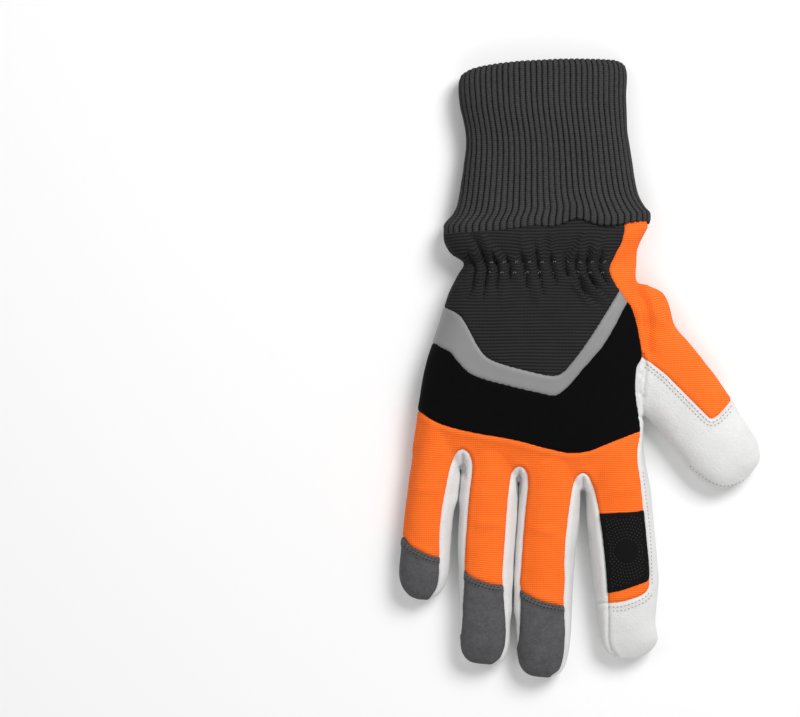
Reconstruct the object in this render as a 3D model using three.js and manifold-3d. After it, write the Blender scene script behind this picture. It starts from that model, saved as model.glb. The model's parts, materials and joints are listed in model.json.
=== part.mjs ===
// A padded leather work glove for the right hand, lying palm down as if a hand were in it.
// Millimetres. +Z is up, the fingers point to -Y, the knitted cuff to +Y and the thumb to +X.
// The hand is one hollow form, lofted from sections and cut along the seams of the real glove.
import * as THREE from 'three';
import { mergeVertices } from 'three/addons/utils/BufferGeometryUtils.js';
import Module from 'manifold-3d';

const wasm = await Module();
wasm.setup();

// Driving dimensions.
const LEATHER = 1.8; // wall of leather and of lined cloth
const KNIT = 3.0; // doubled rib knit of the cuff
const SEAM = 0.35; // gap between two pieces along a seam
const MIDDLE = 10.0; // height of the widest line of the hand above the table
const DIGIT_MIDDLE = 9.0; // the same on the fingers and the thumb
const HAND_UNDER = 1.3; // underside of the palm, which stands on its pads
const SIDE_SEAM = 7.0; // height of the seam along the outer side of the hand
const RIB_COUNT = 46; // ribs round the cuff
const RIB_DEPTH = 0.9;
const BADGE = 0.9; // thickness of the moulded badge
const TAB = 1.0; // thickness of the suede tab
const LABEL_GAP = 0.3; // between badge, tab and cuff
const TOUCH_PAD = 0.9; // thickness of the patch on the index finger
const CUFF_UNDER = BADGE + TAB + 2 * LABEL_GAP; // the cuff lies on its tab and badge
const PAD_OVERLAP = 0.4; // how far the pads reach up into the palm
const ROUND_BACK = { hand: 2.7, digit: 2.3, cuff: 2.6 }; // superellipse exponents of the upper half
const ROUND_UNDER = { hand: 5, digit: 3.2, cuff: 3.2 }; // exponents of the lower halves, which are flatter
const PRESSED = 1.12; // how far the lower half is pressed flat by the table
const LEAST_RISE = 0.6; // of a section above its widest line
const CROTCH_REACH = 2.2; // the arc round a crotch stands for this many radii of the sides
const TIP_WIDTH = 22; // of the little finger at its tip
const FULL_WIDTH = 19.5; // a section narrower than this is part of a finger's rounded end
const SEAM_END = { inward: 2, onward: 12 }; // how the seams run on past the last full section
const GATHERS = { count: 8, from: -53, to: 10, length: 6.5, width: 1.7, height: 1.5, sunk: 0.35 };
const TINY = 1e-3; // points nearer than this are one
const CRUMB = 1; // in cubic mm; a cut body smaller than this is left out
const HIGH = 60; // above everything
const LOW = -5; // below everything

/** Turns rows of numbers into rows with named columns. */
function table(columns, rows) {
  return rows.map((row) => Object.fromEntries(columns.map((name, i) => [name, row[i]])));
}

// Sections of the hand from the wrist to the knuckles. slant tilts a section in plan, as mm of y for a mm of x.
const HAND = table(
  ['y', 'left', 'right', 'top', 'slant'],
  [
    [71.0, -68.0, 35.0, 25.0, 0.036],
    [65.0, -68.3, 32.0, 27.0, 0.03],
    [59.0, -65.0, 29.0, 26.5, 0.02],
    [52.3, -57.0, 28.3, 23.0, 0],
    [45.5, -61.3, 28.0, 25.5, 0],
    [37.0, -65.3, 30.6, 28.0, 0],
    [21.5, -70.0, 34.0, 29.4, 0],
    [3.0, -76.5, 33.0, 29.4, 0],
    [-14.0, -79.4, 31.2, 28.2, -0.02],
    [-32.0, -81.5, 31.3, 25.8, -0.08],
    [-43.0, -82.9, 32.0, 22.6, -0.13],
    [-51.0, -83.6, 32.6, 19.4, -0.18],
    [-55.5, -83.6, 33.0, 15.6, -0.2],
  ],
);

// Sections of each finger from inside the knuckles to the tip.
const DIGIT_COLUMNS = ['y', 'left', 'right', 'top'];
const FINGERS = {
  little: {
    seams: [null, 5.2], // distance of the seams of the back from the left and right sides; null has none
    rows: table(DIGIT_COLUMNS, [
      [-24, -79.5, -58.5, 21.5],
      [-41, -83.0, -59.2, 21.0],
      [-51, -84.5, -60.0, 20.4],
      [-76, -87.5, -63.4, 19.6],
      [-91, -88.6, -65.0, 19.0],
      [-106, -89.2, -66.4, 17.4],
      [-111, -87.5, -69.0, 15.6],
      [-114, -84.5, -72.0, 13.4],
      [-115.7, -80.5, -76.0, 11.2],
    ]),
  },
  ring: {
    seams: [3.2, 4.6],
    rows: table(DIGIT_COLUMNS, [
      [-28, -58.0, -31.0, 22.5],
      [-44, -58.3, -30.9, 22.2],
      [-71, -60.1, -31.4, 21.2],
      [-101, -60.2, -33.5, 20.4],
      [-130, -59.8, -34.3, 18.8],
      [-137, -59.3, -34.7, 17.8],
      [-142, -58.0, -36.0, 16.2],
      [-145.5, -55.8, -38.5, 14.2],
      [-148, -50.0, -43.0, 11.4],
    ]),
  },
  middle: {
    seams: [3.2, 5.0],
    rows: table(DIGIT_COLUMNS, [
      [-30, -30.0, 0.3, 22.8],
      [-48, -30.0, 0.8, 22.5],
      [-76, -30.8, -0.2, 21.5],
      [-106, -32.6, -3.0, 20.5],
      [-136, -31.2, -4.4, 19.0],
      [-143, -30.2, -5.2, 17.9],
      [-149, -28.2, -7.0, 15.8],
      [-152.5, -24.5, -10.5, 13.4],
      [-154.4, -19.5, -15.0, 11.2],
    ]),
  },
  index: {
    seams: [5.4, null],
    rows: table(DIGIT_COLUMNS, [
      [-30, 1.4, 30.5, 22.5],
      [-48, 1.8, 33.0, 22.2],
      [-76, 3.8, 36.8, 21.3],
      [-106, 6.8, 39.6, 20.0],
      [-118, 8.3, 38.6, 18.8],
      [-128, 9.7, 37.8, 17.4],
      [-136, 11.5, 38.0, 15.6],
      [-141, 14.0, 33.8, 13.8],
      [-144.6, 19.5, 26.5, 11.2],
    ]),
  },
};

// The thumb is lofted along its own -Y and turned into place about its root.
const THUMB_ROOT = new THREE.Vector3(35, 19, 0);
const THUMB_TURN = THREE.MathUtils.degToRad(37);
const THUMB = table(DIGIT_COLUMNS, [
  [24, -20.0, 8.0, 20.5],
  [11, -27.5, 16.2, 22.0],
  [4, -28.0, 15.0, 21.5],
  [-16, -28.0, 11.8, 20.4],
  [-43, -26.0, 12.3, 20.2],
  [-56, -25.7, 11.1, 19.8],
  [-69, -25.6, 10.2, 18.8],
  [-76, -24.0, 9.4, 17.6],
  [-81, -21.6, 7.6, 16.0],
  [-85, -18.2, 4.6, 13.8],
  [-88.3, -11.5, -3.5, 11.0],
]);

// Sections of the cuff from its mouth to the wrist seam.
const CUFF = table(
  ['y', 'left', 'right', 'top', 'slant'],
  [
    [151.4, -58.6, 22.0, 19.0, 0.062],
    [149.2, -60.6, 23.6, 21.2, 0.062],
    [131.5, -59.8, 23.2, 22.0, 0.02],
    [110.0, -57.2, 25.2, 22.0, 0],
    [86.5, -60.0, 29.3, 23.2, 0.01],
    [79.0, -62.8, 32.4, 24.8, 0.02],
    [74.0, -68.0, 35.2, 26.2, 0.036],
    [71.0 + SEAM, -68.0, 35.0, 25.0, 0.036],
  ],
);

// Seams in plan, as [x, y]. Those of the back run from the little finger's side to the thumb's side.
const STRIPE_UPPER = [
  [-74, 34], [-62.5, 27.5], [-59, 24], [-51.5, 10.5], [-48, 6], [-44, 3.5],
  [-15.5, -4], [-12, -3.8], [-8.5, -1.5], [0, 9], [21, 42],
];
const STRIPE_LOWER = [
  [-80, 15.5], [-73, 12.5], [-65, 7.8], [-58.5, 0], [-55.5, -2.5], [-50, -5],
  [-16, -13.5], [-13, -13.5], [-10, -11.8], [10, 10.5], [26, 38],
];
const KNUCKLE_SEAM = [
  [-86, -19], [-75, -25.3], [-65, -29.5], [-50, -32.8], [-30, -36.5],
  [-7.5, -42], [0, -42], [29.2, -31.6],
];
const THUMB_PANEL_SEAM = [
  [22.4, 76], [20, 61.5], [14, 50], [14.6, 46], [25, 30.5], [28, 21.5],
  [30.5, 5.5], [42.5, -3.5], [65, -25.3], [75.8, -16], [86, -7],
];
const EDGE_SEAM = [
  [30.5, 5.5], [28, 1], [27.3, -6], [29.2, -31.6], [28.5, -46],
  [30.5, -61], [34.2, -104], [33.3, -110.5], [25, -115], [13.1, -117.2],
];
const EDGE_TO_THUMB = [[30.6, 5.6], [32.0, 0], [31.0, -18], [31.3, -22.8], [32.2, -28]];
const WRIST_UNDER_SEAM = [
  [3.5, 76], [4.5, 68.5], [9, 53.5], [13, 45.5], [28, 31],
  [57, -3.6], [69.8, -20.5], [77.5, -26.5], [88, -29],
];
const THUMB_END_UNDER = [[69.4, -21.5], [75.8, -16], [86, -7]];
const CAP_SEAMS = {
  little: [[-94, -80], [-88.3, -84.5], [-80, -91.3], [-69.8, -94.5]],
  ring: [[-57.2, -101.4], [-50, -106], [-37.8, -108.4]],
  middle: [[-29.4, -111.4], [-25, -114], [-15, -117.3], [-8.2, -118.7]],
};
const GAPS = { // the seam round each gap between two fingers passes its crotch here
  little_ring: { fingers: ['little', 'ring'], crotch: [-58.9, -40.5], radius: 4.6 },
  ring_middle: { fingers: ['ring', 'middle'], crotch: [-30.4, -49], radius: 4.2 },
  middle_index: { fingers: ['middle', 'index'], crotch: [1, -52.5], radius: 4.6 },
};
// Outlines of the quilted pads of the palm.
const PADS = {
  knuckles: [
    [18, -34], [13, -39.5], [-6, -51], [-10.5, -51.8], [-27, -50], [-44.5, -45], [-66, -42],
    [-75.5, -34], [-76, -27.5], [-71, -7], [-69, -6.5], [-57, -13], [-32, -20.5], [16.5, -29],
  ],
  thumb_ball: [
    [14, -12.5], [9, -19], [-18, -17], [-21, -15.5], [-36.5, 8.5],
    [-35.5, 11], [-12, 34], [-3, 46], [0, 46], [6.5, 32.5],
  ],
  heel: [
    [-33.5, -11], [-37, -12], [-64.5, -2], [-68, 1.5], [-68.5, 7.5], [-59, 51.5],
    [-54.5, 53], [-18, 50], [-15, 48.5], [-37, 24], [-45, 11], [-43.5, 4],
  ],
};
const TAB_OUTLINE = [
  [1, 72.5], [0, 80], [-5.5, 102.5], [-7.5, 106.5], [-12, 108.5],
  [-32, 107.5], [-38, 105], [-39.5, 102.5], [-43, 72.5],
];
const BADGE_OUTLINE = [[-4.5, 75], [-11, 99], [-13, 102], [-18, 103.3], [-27, 103], [-31, 100.5], [-36.5, 75]];
const TOUCH_PAD_OUTLINE = [[9.0, -72.3], [31.2, -71], [33.8, -105], [20, -110.8], [13.4, -112]];
const ELASTIC_Y = 51.5; // line of the elastic that gathers the back at the wrist

/** The closed outline of one section: a superellipse above its widest line and a flatter one below. */
function section(row, form, sides, inset) {
  const middle = (row.left + row.right) / 2;
  const half = (row.right - row.left) / 2 - inset;
  const rise = Math.max(LEAST_RISE, row.top - inset - form.middle);
  const fall = form.middle - form.under - inset;
  const loop = [];
  for (let k = 0; k < sides; k++) {
    const angle = (2 * Math.PI * k) / sides;
    const across = Math.cos(angle);
    const above = Math.sin(angle) >= 0;
    const power = above ? ROUND_BACK[form.kind] : ROUND_UNDER[form.kind];
    const height = Math.pow(Math.max(0, 1 - Math.pow(Math.abs(across), power)), 1 / power);
    const z = above ? form.middle + rise * height : form.middle - Math.min(fall, fall * PRESSED * height);
    const x = middle + half * across;
    loop.push(new THREE.Vector3(x, row.y + (row.slant ?? 0) * (x - middle), z));
  }
  return loop;
}

/** A closed geometry through a list of loops that run towards -Y. */
function loft(loops) {
  const sides = loops[0].length;
  const centre = (loop) => loop.reduce((sum, p) => sum.add(p), new THREE.Vector3()).divideScalar(sides);
  const points = [...loops.flat(), centre(loops[0]), centre(loops.at(-1))];
  const first = points.length - 2;
  const last = points.length - 1;
  const end = (loops.length - 1) * sides;
  const index = [];
  for (let k = 0; k < sides; k++) {
    const next = (k + 1) % sides;
    for (let r = 0; r < loops.length - 1; r++) {
      const a = r * sides;
      index.push(a + k, a + next, a + sides + k, a + next, a + sides + next, a + sides + k);
    }
    index.push(first, next, k, last, end + k, end + next);
  }
  return new THREE.BufferGeometry().setFromPoints(points).setIndex(index);
}

/** A geometry as a solid that can be cut and joined. */
function solid(geometry) {
  geometry.deleteAttribute('normal');
  geometry.deleteAttribute('uv');
  const merged = mergeVertices(geometry, TINY);
  return new wasm.Manifold(
    new wasm.Mesh({
      numProp: 3,
      vertProperties: merged.attributes.position.array,
      triVerts: new Uint32Array(merged.index.array),
    }),
  );
}

const joined = (solids) => solids.reduce((all, one) => all.add(one));

/** A solid as a named mesh. */
function piece(name, body, color, roughness) {
  const mesh = body.getMesh();
  const geometry = new THREE.BufferGeometry()
    .setAttribute('position', new THREE.BufferAttribute(mesh.vertProperties, 3))
    .setIndex(new THREE.BufferAttribute(mesh.triVerts, 1));
  geometry.computeVertexNormals();
  const made = new THREE.Mesh(geometry, new THREE.MeshStandardMaterial({ color, roughness, metalness: 0 }));
  made.name = name;
  return made;
}

/** An outline in plan, pulled up into a plate. */
function plate(outline, low, high) {
  const shape = new THREE.Shape(outline.map(([x, y]) => new THREE.Vector2(x, y)));
  return solid(new THREE.ExtrudeGeometry(shape, { depth: high - low, bevelEnabled: false }).translate(0, 0, low));
}

/** A thin upright wall along a seam, which cuts what it passes through. */
function curtain(line, low, high, width = SEAM) {
  const points = line.map(([x, y]) => new THREE.Vector2(x, y));
  const side = (sign) =>
    points.map((p, i) => {
      const along = points[Math.min(i + 1, points.length - 1)].clone().sub(points[Math.max(i - 1, 0)]).normalize();
      return [p.x - (sign * along.y * width) / 2, p.y + (sign * along.x * width) / 2];
    });
  return plate([...side(1), ...side(-1).reverse()], low, high);
}

/** A flat cut at one height inside an outline. */
const shelf = (outline, z) => plate(outline, z - SEAM / 2, z + SEAM / 2);

const handForm = { kind: 'hand', middle: MIDDLE, under: HAND_UNDER };
const digitForm = { kind: 'digit', middle: DIGIT_MIDDLE, under: 0 };

/** The outside or, with an inset, the inside of a finger or the thumb. */
function digit(rows, sides, inset) {
  const root = rows[0].y;
  const scale = 1 - inset / (root - rows.at(-1).y);
  const loops = rows.map((row) => section({ ...row, y: root + (row.y - root) * scale }, digitForm, sides, inset));
  return loft(loops);
}

/** The hand as a solid: the palm block, four fingers and the thumb, at an inset from the outside. */
function handSolid(inset, sides) {
  const rows = HAND.map((row) => ({ ...row, y: row.y + inset * (row.y > 0 ? 2 : 1) }));
  const palm = loft(rows.map((row) => section(row, handForm, sides.hand, inset)));
  const thumb = digit(THUMB, sides.thumb, inset).rotateZ(THUMB_TURN).translate(...THUMB_ROOT.toArray());
  const fingers = Object.values(FINGERS).map(({ rows }) => digit(rows, sides.finger, inset));
  return joined([palm, thumb, ...fingers].map(solid));
}

/** Height of the back of the hand at a point in plan. */
function backHeight(x, y) {
  const after = Math.max(1, HAND.findIndex((row) => row.y < y));
  const [from, to] = [HAND[after - 1], HAND[after]];
  const t = (y - from.y) / (to.y - from.y);
  const mix = (key) => THREE.MathUtils.lerp(from[key], to[key], t);
  const across = Math.min(1, Math.abs(x - (mix('left') + mix('right')) / 2) / ((mix('right') - mix('left')) / 2));
  return MIDDLE + (mix('top') - MIDDLE) * Math.pow(1 - Math.pow(across, ROUND_BACK.hand), 1 / ROUND_BACK.hand);
}

/** The gathers that the elastic pulls into the back: ridges that fan out above and below it. */
function gathers() {
  const { count, from, to, length: mean, width, height, sunk } = GATHERS;
  const ridges = [];
  for (const side of [1, -1])
    for (let k = 0; k < count; k++) {
      const share = (k + (side > 0 ? 0.5 : 0.25)) / count;
      const x = THREE.MathUtils.lerp(from, to, share);
      const length = mean + 1.5 * Math.sin(3 * k + side);
      const y = ELASTIC_Y + side * (length + 0.8);
      const slope = (backHeight(x, y + 3) - backHeight(x, y - 3)) / 6;
      const fan = side * (share - 0.5) * 0.5;
      const ridge = new THREE.SphereGeometry(1, 6, 3).scale(width, length, height);
      ridges.push(ridge.rotateX(Math.atan(slope)).rotateZ(-fan).translate(x, y, backHeight(x, y) - sunk));
    }
  return ridges.map(solid);
}

/** The knitted cuff: a ribbed tube, open at the mouth and at the wrist. */
function ribCuff() {
  const form = { kind: 'cuff', middle: MIDDLE, under: CUFF_UNDER };
  const columns = 2 * RIB_COUNT;
  const sides = 48;
  const ribbed = (row, inset, depth) => {
    const curve = new THREE.CatmullRomCurve3(section(row, form, sides, inset), true);
    const spaced = curve.getSpacedPoints(columns).slice(0, columns);
    const middle = new THREE.Vector3((row.left + row.right) / 2, row.y, form.middle);
    return spaced.map((p, k) => {
      const inward = new THREE.Vector3().subVectors(middle, p).setY(0).normalize();
      const sunk = p.z < form.under + inset + 0.2 ? new THREE.Vector3(0, 0, 1) : inward;
      return p.addScaledVector(sunk, k % 2 ? depth : 0);
    });
  };
  const outside = CUFF.map((row) => ribbed(row, 0, RIB_DEPTH));
  const inside = [CUFF[0], CUFF[4], CUFF.at(-1)].map((row) => ribbed(row, KNIT, 0));
  const loops = [...outside, ...inside.reverse()];
  const index = [];
  for (let r = 0; r < loops.length; r++)
    for (let k = 0; k < columns; k++) {
      const [a, b] = [r * columns, ((r + 1) % loops.length) * columns];
      const next = (k + 1) % columns;
      index.push(a + k, a + next, b + k, a + next, b + next, b + k);
    }
  return solid(new THREE.BufferGeometry().setFromPoints(loops.flat()).setIndex(index));
}

/** One side of a finger at height y, as the distance in from the outline given by its seams. */
function seamLine(name, side) {
  const { rows, seams } = FINGERS[name];
  const [key, sign, inset] = side === 'right' ? ['right', -1, seams[1]] : ['left', 1, seams[0]];
  const straight = rows.filter((row) => row.right - row.left > FULL_WIDTH);
  const line = straight.map((row) => [row[key] + sign * inset, row.y]);
  const [x, y] = line.at(-1);
  return [...line, [x + sign * SEAM_END.inward, y - SEAM_END.onward]];
}

/** The seam round a gap: down the side of one finger, round the crotch and down the next. */
function gapSeam({ fingers, crotch, radius }) {
  const below = crotch[1] - CROTCH_REACH * radius;
  const side = (name, which) => seamLine(name, which).filter(([, y]) => y < below);
  const arc = [];
  for (const degrees of [160, 125, 90, 55, 20]) {
    const turn = THREE.MathUtils.degToRad(degrees);
    arc.push([crotch[0] + radius * Math.cos(turn), crotch[1] - radius + radius * Math.sin(turn)]);
  }
  return [...side(fingers[0], 'right').reverse(), ...arc, ...side(fingers[1], 'left')];
}

/** The part of a fingertip, in plan, that lies between its two seams. */
function tipOutline(name) {
  const right = seamLine(name, 'right').slice(-3);
  const hasLeft = FINGERS[name].seams[0] !== null;
  const left = hasLeft ? seamLine(name, 'left').slice(-3) : right.map(([x, y]) => [x - TIP_WIDTH, y]);
  return [...left, ...right.reverse()];
}

/** A point given along the thumb, turned into plan. */
function onThumb([across, along]) {
  const up = new THREE.Vector3(0, 0, 1);
  const p = new THREE.Vector3(across, along, 0).applyAxisAngle(up, THUMB_TURN).add(THUMB_ROOT);
  return [p.x, p.y];
}

/** Every cut between the pieces of the hand. */
function cuts() {
  const littleSide = [[-95, 80], [-66, 80], [-50, 52], [-62, 40], [-62, -40], [-78, -50], [-78, -107], [-95, -107]];
  const thumbSide = [[-28.8, -24], [-21, -24], [-21, -60], [4, -62], [20, -62], [20, -95], [-32, -95]].map(onThumb);
  return joined([
    curtain(STRIPE_UPPER, SIDE_SEAM, HIGH),
    curtain(STRIPE_LOWER, SIDE_SEAM, HIGH),
    curtain(KNUCKLE_SEAM, SIDE_SEAM, HIGH),
    curtain(THUMB_PANEL_SEAM.slice(0, -2), DIGIT_MIDDLE, HIGH),
    curtain(THUMB_PANEL_SEAM.slice(-3), DIGIT_MIDDLE, HIGH),
    curtain(EDGE_SEAM, DIGIT_MIDDLE, HIGH),
    curtain(EDGE_TO_THUMB, SIDE_SEAM, HIGH),
    curtain(WRIST_UNDER_SEAM, LOW, DIGIT_MIDDLE),
    curtain(THUMB_END_UNDER, LOW, DIGIT_MIDDLE),
    ...Object.values(CAP_SEAMS).map((line) => curtain(line, SIDE_SEAM, HIGH)),
    ...Object.values(GAPS).map((gap) => curtain(gapSeam(gap), LOW, HIGH)),
    shelf(littleSide, SIDE_SEAM),
    shelf(thumbSide, DIGIT_MIDDLE),
    ...['little', 'ring', 'middle'].map((name) => shelf(tipOutline(name), SIDE_SEAM)),
  ]);
}

/** The touch patch, which lies on the back of the index finger. */
function touchPatch() {
  const { rows } = FINGERS.index;
  const sides = 16;
  const outer = solid(digit(rows, sides, -SEAM - TOUCH_PAD));
  const inner = solid(digit(rows, sides, -SEAM));
  return outer.subtract(inner).intersect(plate(TOUCH_PAD_OUTLINE, DIGIT_MIDDLE, HIGH));
}

const outside = handSolid(0, { hand: 24, thumb: 14, finger: 12 });
const inside = handSolid(LEATHER, { hand: 16, thumb: 10, finger: 8 });
const shell = joined([outside, ...gathers()]).subtract(inside);
const padded = joined([shell, ...Object.values(PADS).map((outline) => plate(outline, 0, HAND_UNDER + PAD_OVERLAP))]);
const bodies = padded.subtract(cuts()).decompose().filter((body) => body.volume() > CRUMB);

/** The cut body whose wall passes closest to a point. */
function bodyAt(point) {
  const probe = new THREE.Vector3(...point);
  const distance = (body) => {
    const { vertProperties } = body.getMesh();
    let nearest = Infinity;
    for (let i = 0; i < vertProperties.length; i += 3)
      nearest = Math.min(nearest, probe.distanceTo(new THREE.Vector3().fromArray(vertProperties, i)));
    return nearest;
  };
  return bodies.reduce((best, body) => (distance(body) < distance(best) ? body : best));
}

const WHITE = 0xe8e8e6;
const ORANGE = 0xff6a13;
const DARK_CLOTH = 0x2b2b2c;
const SUEDE = 0x4a4a4b;
const PIECES = [
  ['palm_leather', [-20, 20, 1.3], WHITE, 0.6],
  ['back_cloth', [-20, 25, 29], DARK_CLOTH, 0.9],
  ['reflective_stripe', [-30, -5, 29], 0x8f8f8f, 0.55],
  ['knuckle_panel', [-30, -20, 28], 0x0d0d0e, 0.95],
  ['finger_back_cloth', [-45, -42, 24], ORANGE, 0.85],
  ['little_fingertip_cap', [-79, -104, 17], SUEDE, 0.95],
  ['ring_fingertip_cap', [-47, -125, 19], SUEDE, 0.95],
  ['middle_fingertip_cap', [-18, -135, 19], SUEDE, 0.95],
  ['thumb_back_cloth', [52, 0, 20], ORANGE, 0.85],
  ['thumb_back_leather', [60, -42, 20], WHITE, 0.6],
  ['little_ring_gusset', [-61, -75, 9], WHITE, 0.6],
  ['ring_middle_gusset', [-31, -80, 9], WHITE, 0.6],
  ['middle_index_gusset', [-1, -80, 9], WHITE, 0.6],
];

const glove = new THREE.Group();
glove.name = 'work_glove';
for (const [name, point, color, roughness] of PIECES) glove.add(piece(name, bodyAt(point), color, roughness));
glove.add(piece('touch_patch', touchPatch(), 0x161617, 0.6));
glove.add(piece('rib_cuff', ribCuff(), 0x333435, 0.95));
glove.add(piece('cuff_tab', plate(TAB_OUTLINE, BADGE + LABEL_GAP, BADGE + LABEL_GAP + TAB), 0x5c5c5d, 0.95));
glove.add(piece('cuff_badge', plate(BADGE_OUTLINE, 0, BADGE), 0x2c2c2d, 0.6));

export default glove;
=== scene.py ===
"""A padded leather work glove for the right hand, lying palm down on a pale floor.

Shapes are worked out in millimetres and put into Blender in metres. +Z is up, the fingers point to -Y,
the knitted cuff to +Y and the thumb to +X. The hand is lofted from sections, joined into one skin, cut
along the seams of the glove and pressed in and puffed out by formulas.
"""
import json
import logging
import math
from dataclasses import dataclass, field
from enum import Enum

import bpy
import numpy as np
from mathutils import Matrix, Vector
from mathutils.bvhtree import BVHTree


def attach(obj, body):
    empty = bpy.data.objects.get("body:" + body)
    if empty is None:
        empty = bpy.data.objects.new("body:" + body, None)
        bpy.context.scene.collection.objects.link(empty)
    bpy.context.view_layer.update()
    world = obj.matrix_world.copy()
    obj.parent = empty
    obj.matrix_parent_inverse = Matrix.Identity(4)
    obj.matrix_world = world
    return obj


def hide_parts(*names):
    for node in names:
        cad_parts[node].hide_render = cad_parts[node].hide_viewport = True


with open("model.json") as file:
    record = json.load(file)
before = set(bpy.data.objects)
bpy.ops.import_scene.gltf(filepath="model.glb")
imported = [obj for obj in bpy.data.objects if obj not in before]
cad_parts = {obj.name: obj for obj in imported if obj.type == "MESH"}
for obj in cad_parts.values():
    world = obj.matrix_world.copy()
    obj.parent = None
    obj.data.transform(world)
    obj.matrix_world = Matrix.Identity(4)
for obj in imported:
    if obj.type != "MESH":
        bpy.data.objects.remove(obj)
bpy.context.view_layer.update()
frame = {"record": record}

LOG = logging.getLogger("glove")
MM = 0.001
TAU = 2 * math.pi


# Curves and fields in plan


def smooth_curve(points: list, step: float, closed: bool = False) -> np.ndarray:
    """A centripetal Catmull-Rom curve through points of any dimension.

    Args:
        points: rows that the curve passes through.
        step: greatest spacing of the samples.
        closed: whether the curve goes on from the last point to the first, which isn't repeated.

    Returns:
        Samples along the curve, one row each.
    """
    p = np.asarray(points, float)
    p = np.vstack([p[-1], p, p[0], p[1]] if closed else [2 * p[0] - p[1], p, 2 * p[-1] - p[-2]])
    knots = np.concatenate([[0], np.cumsum(np.sqrt(np.linalg.norm(np.diff(p, axis=0), axis=1)))])
    parts = []
    for i in range(1, len(p) - 2):
        k0, k1, k2, k3 = knots[i - 1 : i + 3]
        count = max(1, math.ceil(np.linalg.norm(p[i + 1] - p[i]) / step))
        t = (k1 + (k2 - k1) * np.arange(count) / count)[:, None]
        a1 = (p[i - 1] * (k1 - t) + p[i] * (t - k0)) / (k1 - k0)
        a2 = (p[i] * (k2 - t) + p[i + 1] * (t - k1)) / (k2 - k1)
        a3 = (p[i + 1] * (k3 - t) + p[i + 2] * (t - k2)) / (k3 - k2)
        b1 = (a1 * (k2 - t) + a2 * (t - k0)) / (k2 - k0)
        b2 = (a2 * (k3 - t) + a3 * (t - k1)) / (k3 - k1)
        parts.append((b1 * (k2 - t) + b2 * (t - k1)) / (k2 - k1))
    return np.vstack(parts if closed else [*parts, p[-2]])


def distance_to_line(places: np.ndarray, line: np.ndarray, reach: float = 12.0) -> np.ndarray:
    """Distance in plan from each place to the nearest point of a polyline, at most reach.

    Args:
        places: x and y of each place.
        line: x and y of the polyline's points.
        reach: distance past which nothing is worked out.

    Returns:
        One distance for each place.
    """
    start, run = line[:-1], np.diff(line, axis=0)
    square = np.maximum((run**2).sum(1), 1e-12)
    result = np.full(len(places), reach)
    low, high = line.min(0) - reach, line.max(0) + reach
    near = np.flatnonzero(((places > low) & (places < high)).all(1))
    for chunk in np.array_split(near, max(1, len(near) // 3000)):
        gap = places[chunk][:, None, :] - start
        along = np.clip((gap * run).sum(2) / square, 0, 1)
        gap -= along[..., None] * run
        result[chunk] = np.minimum(reach, np.sqrt((gap**2).sum(2).min(1)))
    return result


def is_inside(places: np.ndarray, outline: np.ndarray) -> np.ndarray:
    """Even-odd test of each place against a closed outline in plan.

    Args:
        places: x and y of each place.
        outline: x and y of the outline's corners.

    Returns:
        True for each place inside.
    """
    x, y = places.T
    result = np.zeros(len(places), bool)
    for (x0, y0), (x1, y1) in zip(outline, np.roll(outline, -1, axis=0)):
        if y0 != y1:
            result ^= ((y0 > y) != (y1 > y)) & (x < (x1 - x0) * (y - y0) / (y1 - y0) + x0)
    return result


def ramp(values: np.ndarray, start: float, end: float) -> np.ndarray:
    """A smooth step from 0 at start to 1 at end."""
    t = np.clip((values - start) / (end - start), 0, 1)
    return t * t * (3 - 2 * t)


def bell(values: np.ndarray, width: float) -> np.ndarray:
    """A bell curve, 1 at zero, that falls to 1/e at width."""
    return np.exp(-((values / width) ** 2))


def ripple(points: np.ndarray, size: float, seed: int, stretch: tuple = (1, 1, 1)) -> np.ndarray:
    """Smooth noise from -1 to 1: a mean of sixteen sine waves in random directions.

    Args:
        points: places, in mm.
        size: length of the shortest waves, in mm.
        seed: picks the waves.
        stretch: how many times longer the waves are along each axis.

    Returns:
        One value for each point.
    """
    draw = np.random.default_rng(seed)
    ways = draw.normal(size=(16, 3))
    ways /= np.linalg.norm(ways, axis=1)[:, None]
    turns = TAU / (size * draw.uniform(1, 2.6, 16))
    phase = draw.uniform(0, TAU, 16)
    scaled = points / np.array(stretch)
    return np.sin(scaled @ (ways * turns[:, None]).T + phase).sum(1) / 5.0


@dataclass(frozen=True)
class Seam:
    """A seam in plan. Its field is the distance to the line, above zero on the side of the far corners.

    Attributes:
        line: points of the seam, in mm.
        far: corners that close the line round the side where the field is above zero.
    """

    line: list
    far: list = field(default_factory=list)

    def curve(self) -> np.ndarray:
        """The smooth line of the seam."""
        return smooth_curve(self.line, 1.2)

    def at(self, points: np.ndarray) -> np.ndarray:
        """The field: the distance in plan to the line, below zero on the near side.

        Args:
            points: places, in mm.

        Returns:
            The field at each point, in mm.
        """
        plan = points[:, :2]
        curve = self.curve()
        outline = np.vstack([curve, np.array(self.far, float)]) if self.far else curve
        sign = np.where(is_inside(plan, outline), 1.0, -1.0)
        return sign * distance_to_line(plan, curve)


# Meshes as arrays


def vertex_normals(points: np.ndarray, faces: np.ndarray) -> np.ndarray:
    """Unit normals at the vertices, as the sum of the face normals weighted by area.

    Args:
        points: vertices.
        faces: triangles.

    Returns:
        One normal for each vertex.
    """
    a, b, c = (points[faces[:, i]] for i in range(3))
    normal = np.cross(b - a, c - a)
    total = np.zeros_like(points)
    for axis in range(3):
        for corner in range(3):
            total[:, axis] += np.bincount(faces[:, corner], normal[:, axis], len(points))
    return total / np.maximum(np.linalg.norm(total, axis=1), 1e-12)[:, None]


def edges_of(faces: np.ndarray) -> np.ndarray:
    """Each edge of a triangle mesh once, lower vertex first."""
    pairs = np.sort(np.concatenate([faces[:, [0, 1]], faces[:, [1, 2]], faces[:, [2, 0]]]), axis=1)
    return np.unique(pairs, axis=0)


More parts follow.
